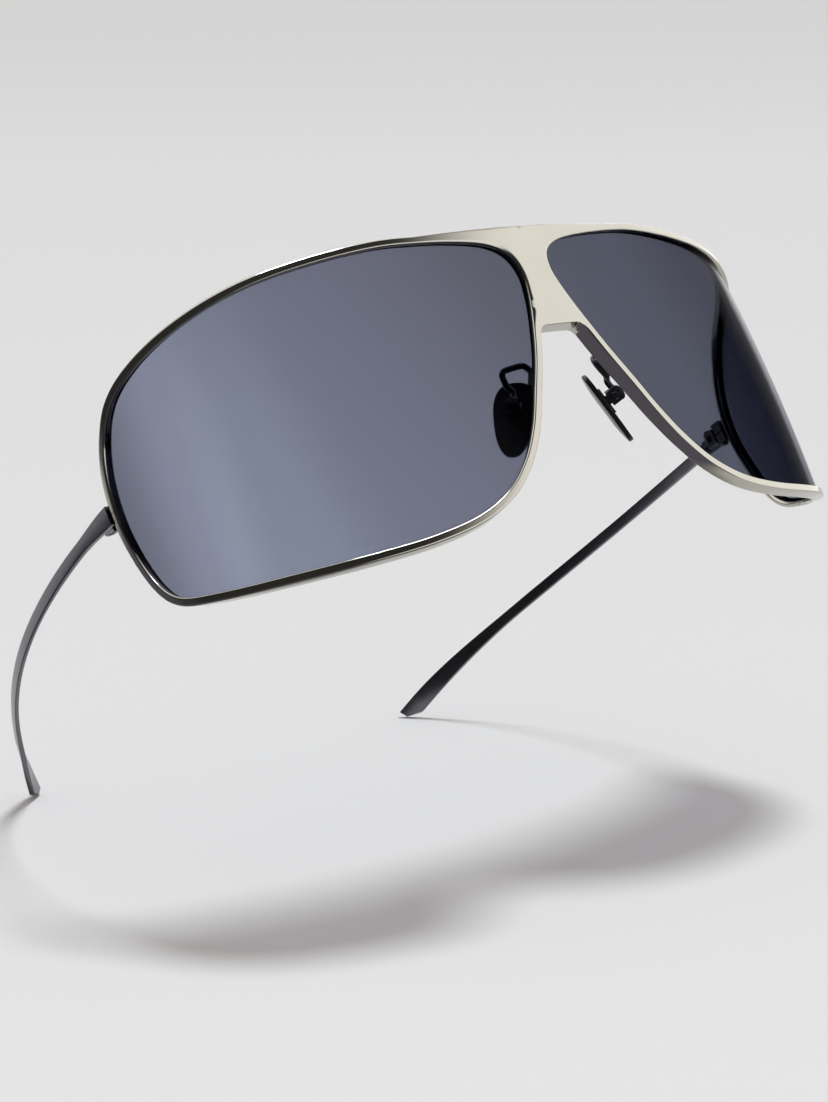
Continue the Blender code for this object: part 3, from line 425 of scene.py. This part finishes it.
# Points of the section at its outer edge, in front and behind
OUTER_FRONT = FACE_STRIPS + 2
OUTER_BACK = FACE_STRIPS + 3


def front_mesh():
    """Both rims and the bridge plate as one skin: open rings, capped at the slots."""
    sections = [rim_section(place) for place in PLACES]
    size = len(sections[0])
    verts, faces, shared = [], [], {}
    for side in (1, -1):
        index = []
        for j, section in enumerate(sections):
            row = []
            for k, (along, height, depth) in enumerate(section):
                seam = at_middle(PLACES[j]) and k in (OUTER_FRONT, OUTER_BACK)
                if seam and (j, k) in shared:
                    row.append(shared[j, k])
                    continue
                point = face_point(along, height, depth)
                if seam:
                    point.x = 0.0
                    shared[j, k] = len(verts)
                row.append(len(verts))
                verts.append(mirrored(point, side))
            index.append(row)
        for j in range(len(index) - 1):
            closed_here = on_middle(PLACES[j]) or on_middle(PLACES[j + 1])
            for k in range(size):
                n = (k + 1) % size
                if not (k == OUTER_FRONT and closed_here):
                    faces.append((index[j][k], index[j][n], index[j + 1][n], index[j + 1][k]))
        faces.append(tuple(index[0]))
        faces.append(tuple(index[-1]))
    return verts, faces


def pocket_mesh():
    """The hollow in the back of the bridge plate, as a cutter that stands out behind it."""
    top = BRIDGE_TOP_SHARE * FRONT_HEIGHT - POCKET_WALL
    low = NOTCH_TOP + POCKET_WALL
    verts, faces = [], []
    for i in range(POCKET_ROWS + 1):
        height = low + (top - low) * i / POCKET_ROWS
        half = pocket_half_width(height)
        for side in (-1, 0, 1):
            for depth in (BRIDGE_DEPTH - POCKET_DEPTH, BRIDGE_DEPTH + POCKET_DEPTH):
                verts.append(mirrored(face_point(abs(side) * half, height, depth), side))
    for i in range(POCKET_ROWS):
        a, b = 6 * i, 6 * (i + 1)
        faces += [(a + j, a + k, b + k, b + j) for j, k in ((0, 2), (2, 4), (1, 3), (3, 5), (0, 1), (4, 5))]
    for a in (0, 6 * POCKET_ROWS):
        faces += [(a, a + 2, a + 3, a + 1), (a + 2, a + 4, a + 5, a + 3)]
    return verts, faces


def pocket_half_width(height):
    """Half the pocket's width at a height: the opening's nose side, less groove and wall."""
    beside = opening_at(place_at_height(AT_POCKET_LOW, AT_POCKET_HIGH, height))
    return beside.x - GROOVE_DEPTH - POCKET_WALL / 2


def lens_mesh():
    """Lens with its edge in the rim's groove, as rings towards its middle."""
    edge = [offset_at(place, GROOVE_DEPTH - LENS_GAP) for place in PLACES]
    centre = Vector((LENS_CENTRE_SHARES[0] * HALF_SPAN, LENS_CENTRE_SHARES[1] * FRONT_HEIGHT))
    count = len(edge)
    verts, faces = [], []
    for depth in (FRONT_LIP + LENS_GAP, FRONT_LIP + GROOVE_WIDTH - LENS_GAP):
        for ring in range(LENS_RINGS):
            row = [centre.lerp(p, 1 - ring / LENS_RINGS) for p in edge]
            verts += [face_point(p.x, p.y, depth) for p in row]
        verts.append(face_point(centre.x, centre.y, depth))
    half = LENS_RINGS * count + 1
    around = [(i, (i + 1) % count) for i in range(count)]
    for start in (0, half):
        for ring in range(LENS_RINGS - 1):
            a, b = start + ring * count, start + (ring + 1) * count
            faces += [(a + i, a + n, b + n, b + i) for i, n in around]
        last = start + (LENS_RINGS - 1) * count
        faces += [(last + i, last + n, start + half - 1) for i, n in around]
    faces += [(i, n, half + n, half + i) for i, n in around]
    return verts, faces


def loft(rows):
    """Closed solid through rows of points of equal count, capped at both ends."""
    size = len(rows[0])
    verts = [p for row in rows for p in row]
    faces = [tuple(range(size)), tuple(range((len(rows) - 1) * size, len(rows) * size))]
    for j in range(len(rows) - 1):
        for k in range(size):
            n = (k + 1) % size
            faces.append((j * size + k, j * size + n, (j + 1) * size + n, (j + 1) * size + k))
    return verts, faces


# Temples

def rim_end(reach, depth):
    """Outer corner of the left rim at the hinge, as far back as the rim goes: within a reach
    above and below the hinge, and down to a depth behind the face.
    """
    edge = offset_at(AT_HINGE, RIM_WIDTH)
    corner = face_point(edge.x, edge.y)
    outer = [offset_at(place, RIM_WIDTH) for place in spread(AT_SIDE_START, AT_SIDE_END, SIDE_STEPS)]
    beside = [p for p in outer if abs(p.y - edge.y) < reach]
    corner.y = max(face_point(p.x, p.y, level).y for p in beside for level in (0.0, depth))
    return corner


TEMPLE_START = rim_end(TEMPLE_ROOT_HEIGHT / 2, TEMPLE_ROOT_THICKNESS - TEMPLE_PROUD)


def temple_centre(share):
    """Middle of the temple's section at a share of its reach."""
    start = TEMPLE_START + BACK * FOLD_GAP + INWARD * (TEMPLE_ROOT_THICKNESS / 2 - TEMPLE_PROUD)
    inset = TIP_INSET * share ** INSET_POWER
    fall = TEMPLE_FALL * share ** FALL_POWER + TIP_DROP * share ** DROP_POWER
    return start + BACK * (TEMPLE_REACH * share) + INWARD * inset - UP * fall


def temple_size(share, root, middle, paddle):
    """A size of the temple that runs from its root over its middle to its paddle."""
    narrowed = ease((share - ROOT_END_SHARE) / (ROOT_TAPER_SHARE - ROOT_END_SHARE))
    widened = ease((share - PADDLE_START_SHARE) / (1 - PADDLE_START_SHARE))
    return root + (middle - root) * narrowed + (paddle - middle) * widened


def bar_section(thick, half, edge):
    """Bar section with rounded edges, as (across, up) points, from the middle of one side round."""
    points = [(thick, 0.0)]
    for quarter, (across, up) in enumerate(((1, 1), (-1, 1), (-1, -1), (1, -1))):
        if quarter == 2:
            points.append((-thick, 0.0))
        for k in range(EDGE_STEPS + 1):
            turn = (quarter + k / EDGE_STEPS) * math.pi / 2
            points.append((across * (thick - edge) + edge * math.cos(turn),
                           up * (half - edge) + edge * math.sin(turn)))
    return points


def temple_mesh(lean):
    """Flat bar along the temple's path, twisted towards its end, which has a facet on the table."""
    level = Vector((0, -math.sin(lean), math.cos(lean)))
    end = temple_centre(1.0)
    rows = []
    for i in range(TEMPLE_STATIONS + 1):
        share = i / TEMPLE_STATIONS
        centre = temple_centre(share)
        ahead = temple_centre(min(share + TANGENT_SHARE, 1.0))
        tangent = (ahead - temple_centre(max(share - TANGENT_SHARE, 0.0))).normalized()
        across = tangent.cross(UP).normalized()
        upward = across.cross(tangent)
        twist = PADDLE_TWIST * ease((share - TWIST_START_SHARE) / (1 - TWIST_START_SHARE))
        turned = Quaternion(tangent, -twist)
        across, upward = turned @ across, turned @ upward
        flare = (TEMPLE_ROOT_HEIGHT - TEMPLE_HEIGHT) * ease(1 - share / FLARE_END_SHARE)
        half = (temple_size(share, TEMPLE_HEIGHT, TEMPLE_HEIGHT, PADDLE_HEIGHT) + flare) / 2
        thick = temple_size(share, TEMPLE_ROOT_THICKNESS, TEMPLE_THICKNESS, PADDLE_THICKNESS) / 2
        row = [centre + across * x + upward * z for x, z in bar_section(thick, half, TEMPLE_EDGE)]
        if i == 0:
            row = [p + tangent * ((centre.y - p.y) / tangent.y) for p in row]
        if i == TEMPLE_STATIONS:
            row = [p + tangent * min((end - p).dot(level) / tangent.dot(level), 0.0) for p in row]
        elif min((p - end).dot(level) for p in row) < 0:
            continue
        rows.append(row)
    return loft(rows)


def table_lean():
    """Lean at which the rims' lower edges and the temples' ends touch one table."""
    end = temple_centre(1.0)
    slopes = []
    for place in PLACES:
        edge = outer_edge(place)
        for depth in (RIM_EDGE, RIM_DEPTH - RIM_EDGE):
            point = face_point(edge.x, edge.y, depth)
            slopes.append((end.z - point.z) / (end.y - point.y))
    return math.atan(max(slopes))


# Nose pads

PAD_MIDDLE = Vector((PAD_SIDE, PAD_BEHIND, PAD_ABOVE))
PAD_DOWN = PAD_DOWNWARD.normalized()
PAD_OUT = (PAD_FACING - PAD_DOWN * PAD_FACING.dot(PAD_DOWN)).normalized()
PAD_ACROSS = PAD_OUT.cross(PAD_DOWN)
PAD_PIVOT = (PAD_MIDDLE + PAD_DOWN * (PAD_LENGTH * (PAD_SCREW_SHARE - 0.5))
             - PAD_OUT * (PAD_THICKNESS / 2 + SEAT_GAP + INSERT_THICKNESS + LUG_REACH))


def pad_outline(inset):
    """Rounded pad, narrower below, as (down, across) points from its middle."""
    points = []
    for i in range(PAD_POINTS):
        turn = 2 * math.pi * i / PAD_POINTS
        down, across = math.cos(turn), math.sin(turn)
        narrow = 1 - PAD_TAPER_SHARE * (1 + down) / 2
        square = (abs(down) ** PAD_SQUARENESS + abs(across) ** PAD_SQUARENESS) ** (-1 / PAD_SQUARENESS)
        points.append((down * square * (PAD_LENGTH / 2 - inset),
                       across * square * narrow * (PAD_WIDTH / 2 - inset)))
    return points


def pad_mesh():
    """Pad with rounded edges and a crowned face towards the nose."""
    face = PAD_THICKNESS / 2
    quarter = [k / EDGE_STEPS * math.pi / 2 for k in range(EDGE_STEPS + 1)]
    levels = [(PAD_EDGE * (1 - math.sin(t)), PAD_EDGE * (1 - math.cos(t)) - face) for t in quarter]
    levels += [(PAD_EDGE * (1 - math.cos(t)), face - PAD_EDGE * (1 - math.sin(t))) for t in quarter]
    crown = PAD_WIDTH / 2 - PAD_EDGE
    for k in range(1, CROWN_RINGS):
        share = k / CROWN_RINGS
        levels.append((PAD_EDGE + crown * share, face + PAD_CROWN * (1 - (1 - share) ** 2)))
    rows = [[PAD_MIDDLE + PAD_DOWN * d + PAD_ACROSS * a + PAD_OUT * level for d, a in pad_outline(inset)]
            for inset, level in levels]
    return loft(rows)


def smooth_path(points, steps):
    """Points of a smooth curve through the given points."""
    path = []
    for i in range(len(points) - 1):
        ring = [points[max(i - 1, 0)], points[i], points[i + 1], points[min(i + 2, len(points) - 1)]]
        path += [through(*ring, k / steps) for k in range(steps)]
    return path + [points[-1]]


def arm_mesh():
    """Bent wire: along the rim's back, up and over, and down into the top of the pad box."""
    behind = SEAT_GAP + ARM_RADIUS
    base = [(along * PAD_SIDE, height * PAD_ABOVE) for along, height in ARM_BASE_SHARES]
    path = [face_point(along, height, depth_at(along) + behind) for along, height in base]
    path += [Vector((x * PAD_SIDE, y * PAD_BEHIND, z * PAD_ABOVE)) for x, y, z in ARM_BEND_SHARES]
    end = PAD_PIVOT - PAD_DOWN * (BOX_LENGTH / 2 + SEAT_GAP) - PAD_OUT * ARM_BOX_OFFSET
    path = smooth_path([*path, end - PAD_DOWN * (2 * ARM_RADIUS), end], ARM_STEPS)
    rows = []
    side = Vector((1, 0, 0))
    for i, centre in enumerate(path):
        tangent = (path[min(i + 1, len(path) - 1)] - path[max(i - 1, 0)]).normalized()
        if i == len(path) - 1:
            tangent = PAD_DOWN
        side = (side - tangent * side.dot(tangent)).normalized()
        other = tangent.cross(side)
        rows.append([centre + (side * math.cos(t) + other * math.sin(t)) * ARM_RADIUS
                     for t in (2 * math.pi * k / ARM_SIDES for k in range(ARM_SIDES))])
    return loft(rows)


# Placing

LEAN = table_lean()


def stance():
    """Where the upright model goes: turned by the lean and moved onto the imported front."""
    turn = Matrix.Rotation(-LEAN, 4, "X")
    low = min((turn @ v).y for v in front_mesh()[0])
    end = turn @ temple_centre(1.0)
    return Matrix.Translation((0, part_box("front_frame")[0][1] - low, -end.z)) @ turn


STANCE = stance()


def set_down(points, side):
    """Points of the upright model where they stand in the world, mirrored for the right side."""
    return [STANCE @ mirrored(p, side) for p in points]


def add_object(name, data):
    """Object with the given data, in the scene."""
    new = bpy.data.objects.new(name, data)
    bpy.context.collection.objects.link(new)
    return new


def make_piece(name, mesh_data, side=1, sharp=SHARP_ANGLE):
    """Smoothly shaded object of a mesh in the world frame, mirrored for the right side."""
    verts, faces = mesh_data
    mesh = bpy.data.meshes.new(name)
    mesh.from_pydata(set_down(verts, side), [], faces)
    work = bmesh.new()
    work.from_mesh(mesh)
    bmesh.ops.recalc_face_normals(work, faces=work.faces)
    work.to_mesh(mesh)
    work.free()
    mesh.shade_smooth()
    mesh.set_sharp_from_angle(angle=sharp)
    return add_object(name, mesh)


def cut_pocket(piece):
    """Cut the bridge plate's hollow out of the front's mesh."""
    cutter = make_piece("bridge_pocket_cutter", pocket_mesh())
    cut = piece.modifiers.new("bridge_pocket", "BOOLEAN")
    cut.operation = "DIFFERENCE"
    cut.object = cutter
    bpy.context.view_layer.update()
    depsgraph = bpy.context.evaluated_depsgraph_get()
    cut_mesh = bpy.data.meshes.new_from_object(piece.evaluated_get(depsgraph))
    piece.modifiers.remove(cut)
    piece.data = cut_mesh
    bpy.data.objects.remove(cutter, do_unlink=True)


def weigh_normals(piece):
    """Let a piece's large faces set its shading, so that they look flat."""
    weighted = piece.modifiers.new("weighted_normals", "WEIGHTED_NORMAL")
    weighted.mode = "FACE_AREA"
    weighted.weight = FACE_AREA_WEIGHT
    weighted.keep_sharp = True


def dress(piece, look, body, node):
    """Give a piece its material and the body that it rides on, and hide the CAD node that it stands in for.
    """
    piece.data.materials.append(look)
    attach(piece, body)
    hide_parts(node)


# Materials

def new_material(name):
    """Node material, with its tree and its shader."""
    material = bpy.data.materials.new(name)
    material.use_nodes = True
    tree = material.node_tree
    return material, tree, tree.nodes["Principled BSDF"]


def add_node(tree, kind, **inputs):
    """Node with some of its inputs set."""
    node = tree.nodes.new(kind)
    for key, value in inputs.items():
        node.inputs[key].default_value = value
    return node


def coordinates(tree, kind):
    """Texture coordinates of a kind, such as Object."""
    return tree.nodes.new("ShaderNodeTexCoord").outputs[kind]


def noise_factor(tree, scale, detail):
    """Noise on object coordinates."""
    noise = add_node(tree, "ShaderNodeTexNoise", Scale=scale, Detail=detail)
    tree.links.new(coordinates(tree, "Object"), noise.inputs["Vector"])
    return noise.outputs["Fac"]


def ramp(tree, source, stops):
    """Colour that a value picks from stops, each a position and a colour."""
    node = tree.nodes.new("ShaderNodeValToRGB")
    elements = node.color_ramp.elements
    elements[0].position, elements[0].color = stops[0][0], (*stops[0][1], 1)
    elements[1].position, elements[1].color = stops[-1][0], (*stops[-1][1], 1)
    for position, color in stops[1:-1]:
        elements.new(position).color = (*color, 1)
    tree.links.new(source, node.inputs["Fac"])
    return node.outputs["Color"]


def spread_value(tree, source, low, high):
    """Value from 0 to 1, spread between low and high."""
    node = add_node(tree, "ShaderNodeMapRange", **{"To Min": low, "To Max": high})
    tree.links.new(source, node.inputs["Value"])
    return node.outputs["Result"]


def step_between(tree, source, start, end):
    """Smooth step of a value, from 0 at start to 1 at end."""
    node = add_node(tree, "ShaderNodeMapRange", **{"From Min": start, "From Max": end})
    node.interpolation_type = "SMOOTHSTEP"
    tree.links.new(source, node.inputs["Value"])
    return node.outputs["Result"]


def combine(tree, operation, *values):
    """Math node whose inputs are sockets or plain numbers."""
    node = tree.nodes.new("ShaderNodeMath")
    node.operation = operation
    for socket, value in zip(node.inputs, values):
        if isinstance(value, (int, float)):
            socket.default_value = value
        else:
            tree.links.new(value, socket)
    return node.outputs[0]


def along_axis(tree, direction, axis):
    """How far a direction goes along an axis."""
    node = tree.nodes.new("ShaderNodeVectorMath")
    node.operation = "DOT_PRODUCT"
    node.inputs[1].default_value = axis
    tree.links.new(direction, node.inputs[0])
    return node.outputs["Value"]


def scaled_colour(tree, colour, scale):
    """Colour times a value."""
    node = tree.nodes.new("ShaderNodeVectorMath")
    node.operation = "SCALE"
    tree.links.new(colour, node.inputs[0])
    tree.links.new(scale, node.inputs["Scale"])
    return node.outputs["Vector"]


def blend_shaders(tree, share, first, second):
    """First shader, with a share of the second."""
    mix = tree.nodes.new("ShaderNodeMixShader")
    tree.links.new(share, mix.inputs["Fac"])
    tree.links.new(first, mix.inputs[1])
    tree.links.new(second, mix.inputs[2])
    return mix.outputs[0]


def varied_material(name, tones, cloud, grain):
    """Material whose colour and roughness vary a little, with a fine grain."""
    dark, light, roughness, strength = tones
    material, tree, shader = new_material(name)
    clouds = noise_factor(tree, *cloud)
    colour = ramp(tree, clouds, [(CLOUD_SPAN[0], dark), (CLOUD_SPAN[1], light)])
    tree.links.new(colour, shader.inputs["Base Color"])
    tree.links.new(spread_value(tree, clouds, *roughness), shader.inputs["Roughness"])
    bump = add_node(tree, "ShaderNodeBump", Strength=strength, Distance=GRAIN_HEIGHT)
    tree.links.new(noise_factor(tree, *grain), bump.inputs["Height"])
    tree.links.new(bump.outputs["Normal"], shader.inputs["Normal"])
    return material, shader


def metal_material(name, tones):
    """Polished or satin metal."""
    material, shader = varied_material(name, tones, METAL_CLOUD, METAL_GRAIN)
    shader.inputs["Metallic"].default_value = 1.0
    return material


def rubber_material():
    """Smooth, dark rubber."""
    material, shader = varied_material("pad_rubber_look", RUBBER, RUBBER_CLOUD, RUBBER_GRAIN)
    shader.inputs["Specular IOR Level"].default_value = RUBBER_SPECULAR
    return material


def lens_material():
    """Thin tinted glass: it darkens what is behind, more so aslant, and its outer faces mirror a little."""
    material, tree, shader = new_material("lens_smoke")
    tree.nodes.remove(shader)
    aslant = add_node(tree, "ShaderNodeLayerWeight", Blend=LAYER_BLEND).outputs["Facing"]
    beside = combine(tree, "ABSOLUTE", along_axis(tree, coordinates(tree, "Object"), (1, 0, 0)))
    # Painted light: the tint lightens towards the lens's outer ends
    painted_lighter = spread_value(tree, step_between(tree, beside, *LENS_PAINTED_LIGHT_SPAN), 1.0, 1.0 + LENS_PAINTED_LIGHT_SHARE)
    tint = tree.nodes.new("ShaderNodeBsdfTransparent")
    tree.links.new(scaled_colour(tree, ramp(tree, aslant, LENS_TINTS), painted_lighter), tint.inputs["Color"])
    gloss = add_node(tree, "ShaderNodeBsdfGlossy", Color=(1, 1, 1, 1), Roughness=LENS_ROUGHNESS)
    inside = tree.nodes.new("ShaderNodeNewGeometry").outputs["Backfacing"]
    coat = ramp(tree, aslant, [(place, (share, share, share)) for place, share in LENS_GLOSS])
    shine = combine(tree, "MULTIPLY", coat, combine(tree, "SUBTRACT", 1.0, inside))
    look = blend_shaders(tree, shine, tint.outputs[0], gloss.outputs[0])
    tree.links.new(look, tree.nodes["Material Output"].inputs["Surface"])
    return material


def floor_material(turn, away, reach, near_edge):
    """Pale paper with painted shade: its tone darkens the further along the floor it lies, away from the
    picture's lower edge. In mirrored light it ends at a painted dark patch, a painted reflection of shade,
    and the camera sees through it from below.
    The turn takes directions to the floor's own frame, whose origin lies at the given reach.
    """
    material, tree, shader = new_material("floor_paper")
    shader.inputs["Roughness"].default_value = FLOOR_ROUGHNESS
    shader.inputs["Specular IOR Level"].default_value = FLOOR_SPECULAR
    place = coordinates(tree, "Object")
    distance = combine(tree, "ADD", along_axis(tree, place, turn @ away), reach)
    nearness = combine(tree, "DIVIDE", near_edge, combine(tree, "MAXIMUM", distance, near_edge / 2))
    # Painted shade: the paper darkens towards the horizon
    tree.links.new(ramp(tree, nearness, FLOOR_PAINTED_SHADE_TONES), shader.inputs["Base Color"])
    rays = tree.nodes.new("ShaderNodeLightPath")
    # Painted reflection: to mirrors the floor turns into a dark patch beyond a line, where no dark thing
    # stands
    mirror_shade_place = along_axis(tree, place, turn @ PAINTED_MIRROR_SHADE_WAY)
    painted_mirror_shade = add_node(tree, "ShaderNodeEmission", Strength=1.0)
    tree.links.new(ramp(tree, mirror_shade_place, PAINTED_MIRROR_SHADE_TONES), painted_mirror_shade.inputs["Color"])
    mirror_shade_share = combine(tree, "MULTIPLY", rays.outputs["Is Glossy Ray"],
                      step_between(tree, mirror_shade_place, *PAINTED_MIRROR_SHADE_SPAN))
    look = blend_shaders(tree, mirror_shade_share, shader.outputs[0], painted_mirror_shade.outputs[0])
    below = tree.nodes.new("ShaderNodeNewGeometry").outputs["Backfacing"]
    hidden = combine(tree, "MULTIPLY", rays.outputs["Is Camera Ray"], below)
    clear = tree.nodes.new("ShaderNodeBsdfTransparent")
    look = blend_shaders(tree, hidden, look, clear.outputs[0])
    tree.links.new(look, tree.nodes["Material Output"].inputs["Surface"])
    return material


# Build

front_metal = metal_material("front_metal", FRONT_METAL)
temple_metal = metal_material("temple_metal", TEMPLE_METAL)
fitting_metal = metal_material("fitting_metal", FITTING_METAL)
lens_look = lens_material()
rubber = rubber_material()

front = make_piece("front", front_mesh(), sharp=FRONT_SHARP_ANGLE)
cut_pocket(front)
weigh_normals(front)
dress(front, front_metal, "front", "front_frame")

for name, side in SIDES.items():
    lens = make_piece(f"{name}_lens_skin", lens_mesh(), side)
    dress(lens, lens_look, "front", f"{name}_lens")
    temple = make_piece(f"{name}_temple_skin", temple_mesh(LEAN), side)
    dress(temple, temple_metal, f"{name}_temple_arm", f"{name}_temple")
    pad = make_piece(f"{name}_pad_skin", pad_mesh(), side)
    dress(pad, rubber, f"{name}_pad", f"{name}_nose_pad")
    wire = make_piece(f"{name}_pad_wire", arm_mesh(), side)
    dress(wire, fitting_metal, "front", f"{name}_pad_arm")

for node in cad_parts.values():
    if not node.hide_render:
        node.data.materials.clear()
        node.data.materials.append(fitting_metal)

# Camera

back = Vector((math.sin(AZIMUTH) * math.cos(ELEVATION), -math.cos(AZIMUTH) * math.cos(ELEVATION),
               math.sin(ELEVATION)))
level_right = Vector((math.cos(AZIMUTH), math.sin(AZIMUTH), 0))
level_up = back.cross(level_right)
cam_right = level_right * math.cos(ROLL) + level_up * math.sin(ROLL)
cam_up = level_up * math.cos(ROLL) - level_right * math.sin(ROLL)
cam_data = bpy.data.cameras.new("camera")
cam_data.sensor_width = SENSOR
cam_data.lens = SENSOR * FOCAL_PIXELS / PICTURE_HEIGHT
cam_data.clip_start, cam_data.clip_end = CLIP
camera = add_object("camera", cam_data)
camera.matrix_world = Matrix((cam_right, cam_up, back)).transposed().to_4x4()
camera.location = AIM + cam_right * OFFSET[0] + cam_up * OFFSET[1] + back * OFFSET[2]
bpy.context.scene.camera = camera

# Floor: it passes under the two temple tips, level across the picture

right_tip, left_tip = [
    min(set_down(temple_mesh(LEAN)[0], side), key=FLOOR_FACES.dot) for side in SIDES.values()]
floor_normal = cam_right.cross(left_tip - right_tip).normalized()
floor_mesh = bpy.data.meshes.new("floor")
corners = [(x * FLOOR_HALF_SIZE, y * FLOOR_HALF_SIZE, 0) for x, y in ((-1, -1), (1, -1), (1, 1), (-1, 1))]
floor_mesh.from_pydata(corners, [], [(0, 1, 2, 3)])
floor = add_object("floor", floor_mesh)
floor.rotation_mode = "QUATERNION"
floor.rotation_quaternion = UP.rotation_difference(floor_normal)
floor.location = right_tip - floor_normal * FLOOR_GAP

# Along the floor, away from the camera: to the right tip, and to the floor at the picture's lower edge
view = (cam_up * LOWER_EDGE_SLOPE - back).normalized()
away = (-back - floor_normal * -back.dot(floor_normal)).normalized()
near_edge = (camera.location - right_tip).dot(floor_normal) * view.dot(away) / -view.dot(floor_normal)
reach = (right_tip - camera.location).dot(away)
floor_mesh.materials.append(floor_material(floor.rotation_quaternion.inverted(), away, reach, near_edge))

# Light

sun_data = bpy.data.lights.new("key", "SUN")
sun_data.energy = SUN_ENERGY
sun_data.angle = SUN_ANGLE
sun_data.color = SUN_COLOUR
sun = add_object("key", sun_data)
sun.rotation_mode = "QUATERNION"
sun.rotation_quaternion = SUN_FROM.to_track_quat("Z", "Y")

world = bpy.data.worlds.new("studio")
bpy.context.scene.world = world
world.use_nodes = True
tree = world.node_tree
even = tree.nodes["Background"]
even.inputs["Color"].default_value = (*EVEN_COLOUR, 1)
even.inputs["Strength"].default_value = EVEN_LIGHT
direction = coordinates(tree, "Generated")
brightest = 0.0
for way, span, light in MIRRORED_ROOM:
    part = combine(tree, "MULTIPLY", step_between(tree, along_axis(tree, direction, way), *span), light)
    brightest = combine(tree, "MAXIMUM", part, brightest)
mirrored_room = add_node(tree, "ShaderNodeBackground", Color=(1, 1, 1, 1))
tree.links.new(combine(tree, "ADD", brightest, DARK_SIDE), mirrored_room.inputs["Strength"])
backdrop = add_node(tree, "ShaderNodeBackground", Color=(*BACKDROP, 1), Strength=1.0)
rays = tree.nodes.new("ShaderNodeLightPath")
room = blend_shaders(tree, rays.outputs["Is Glossy Ray"], even.outputs[0], mirrored_room.outputs[0])
room = blend_shaders(tree, rays.outputs["Is Camera Ray"], room, backdrop.outputs[0])
tree.links.new(room, tree.nodes["World Output"].inputs["Surface"])

bpy.context.scene.view_settings.view_transform = "Standard"

bpy.context.view_layer.update()
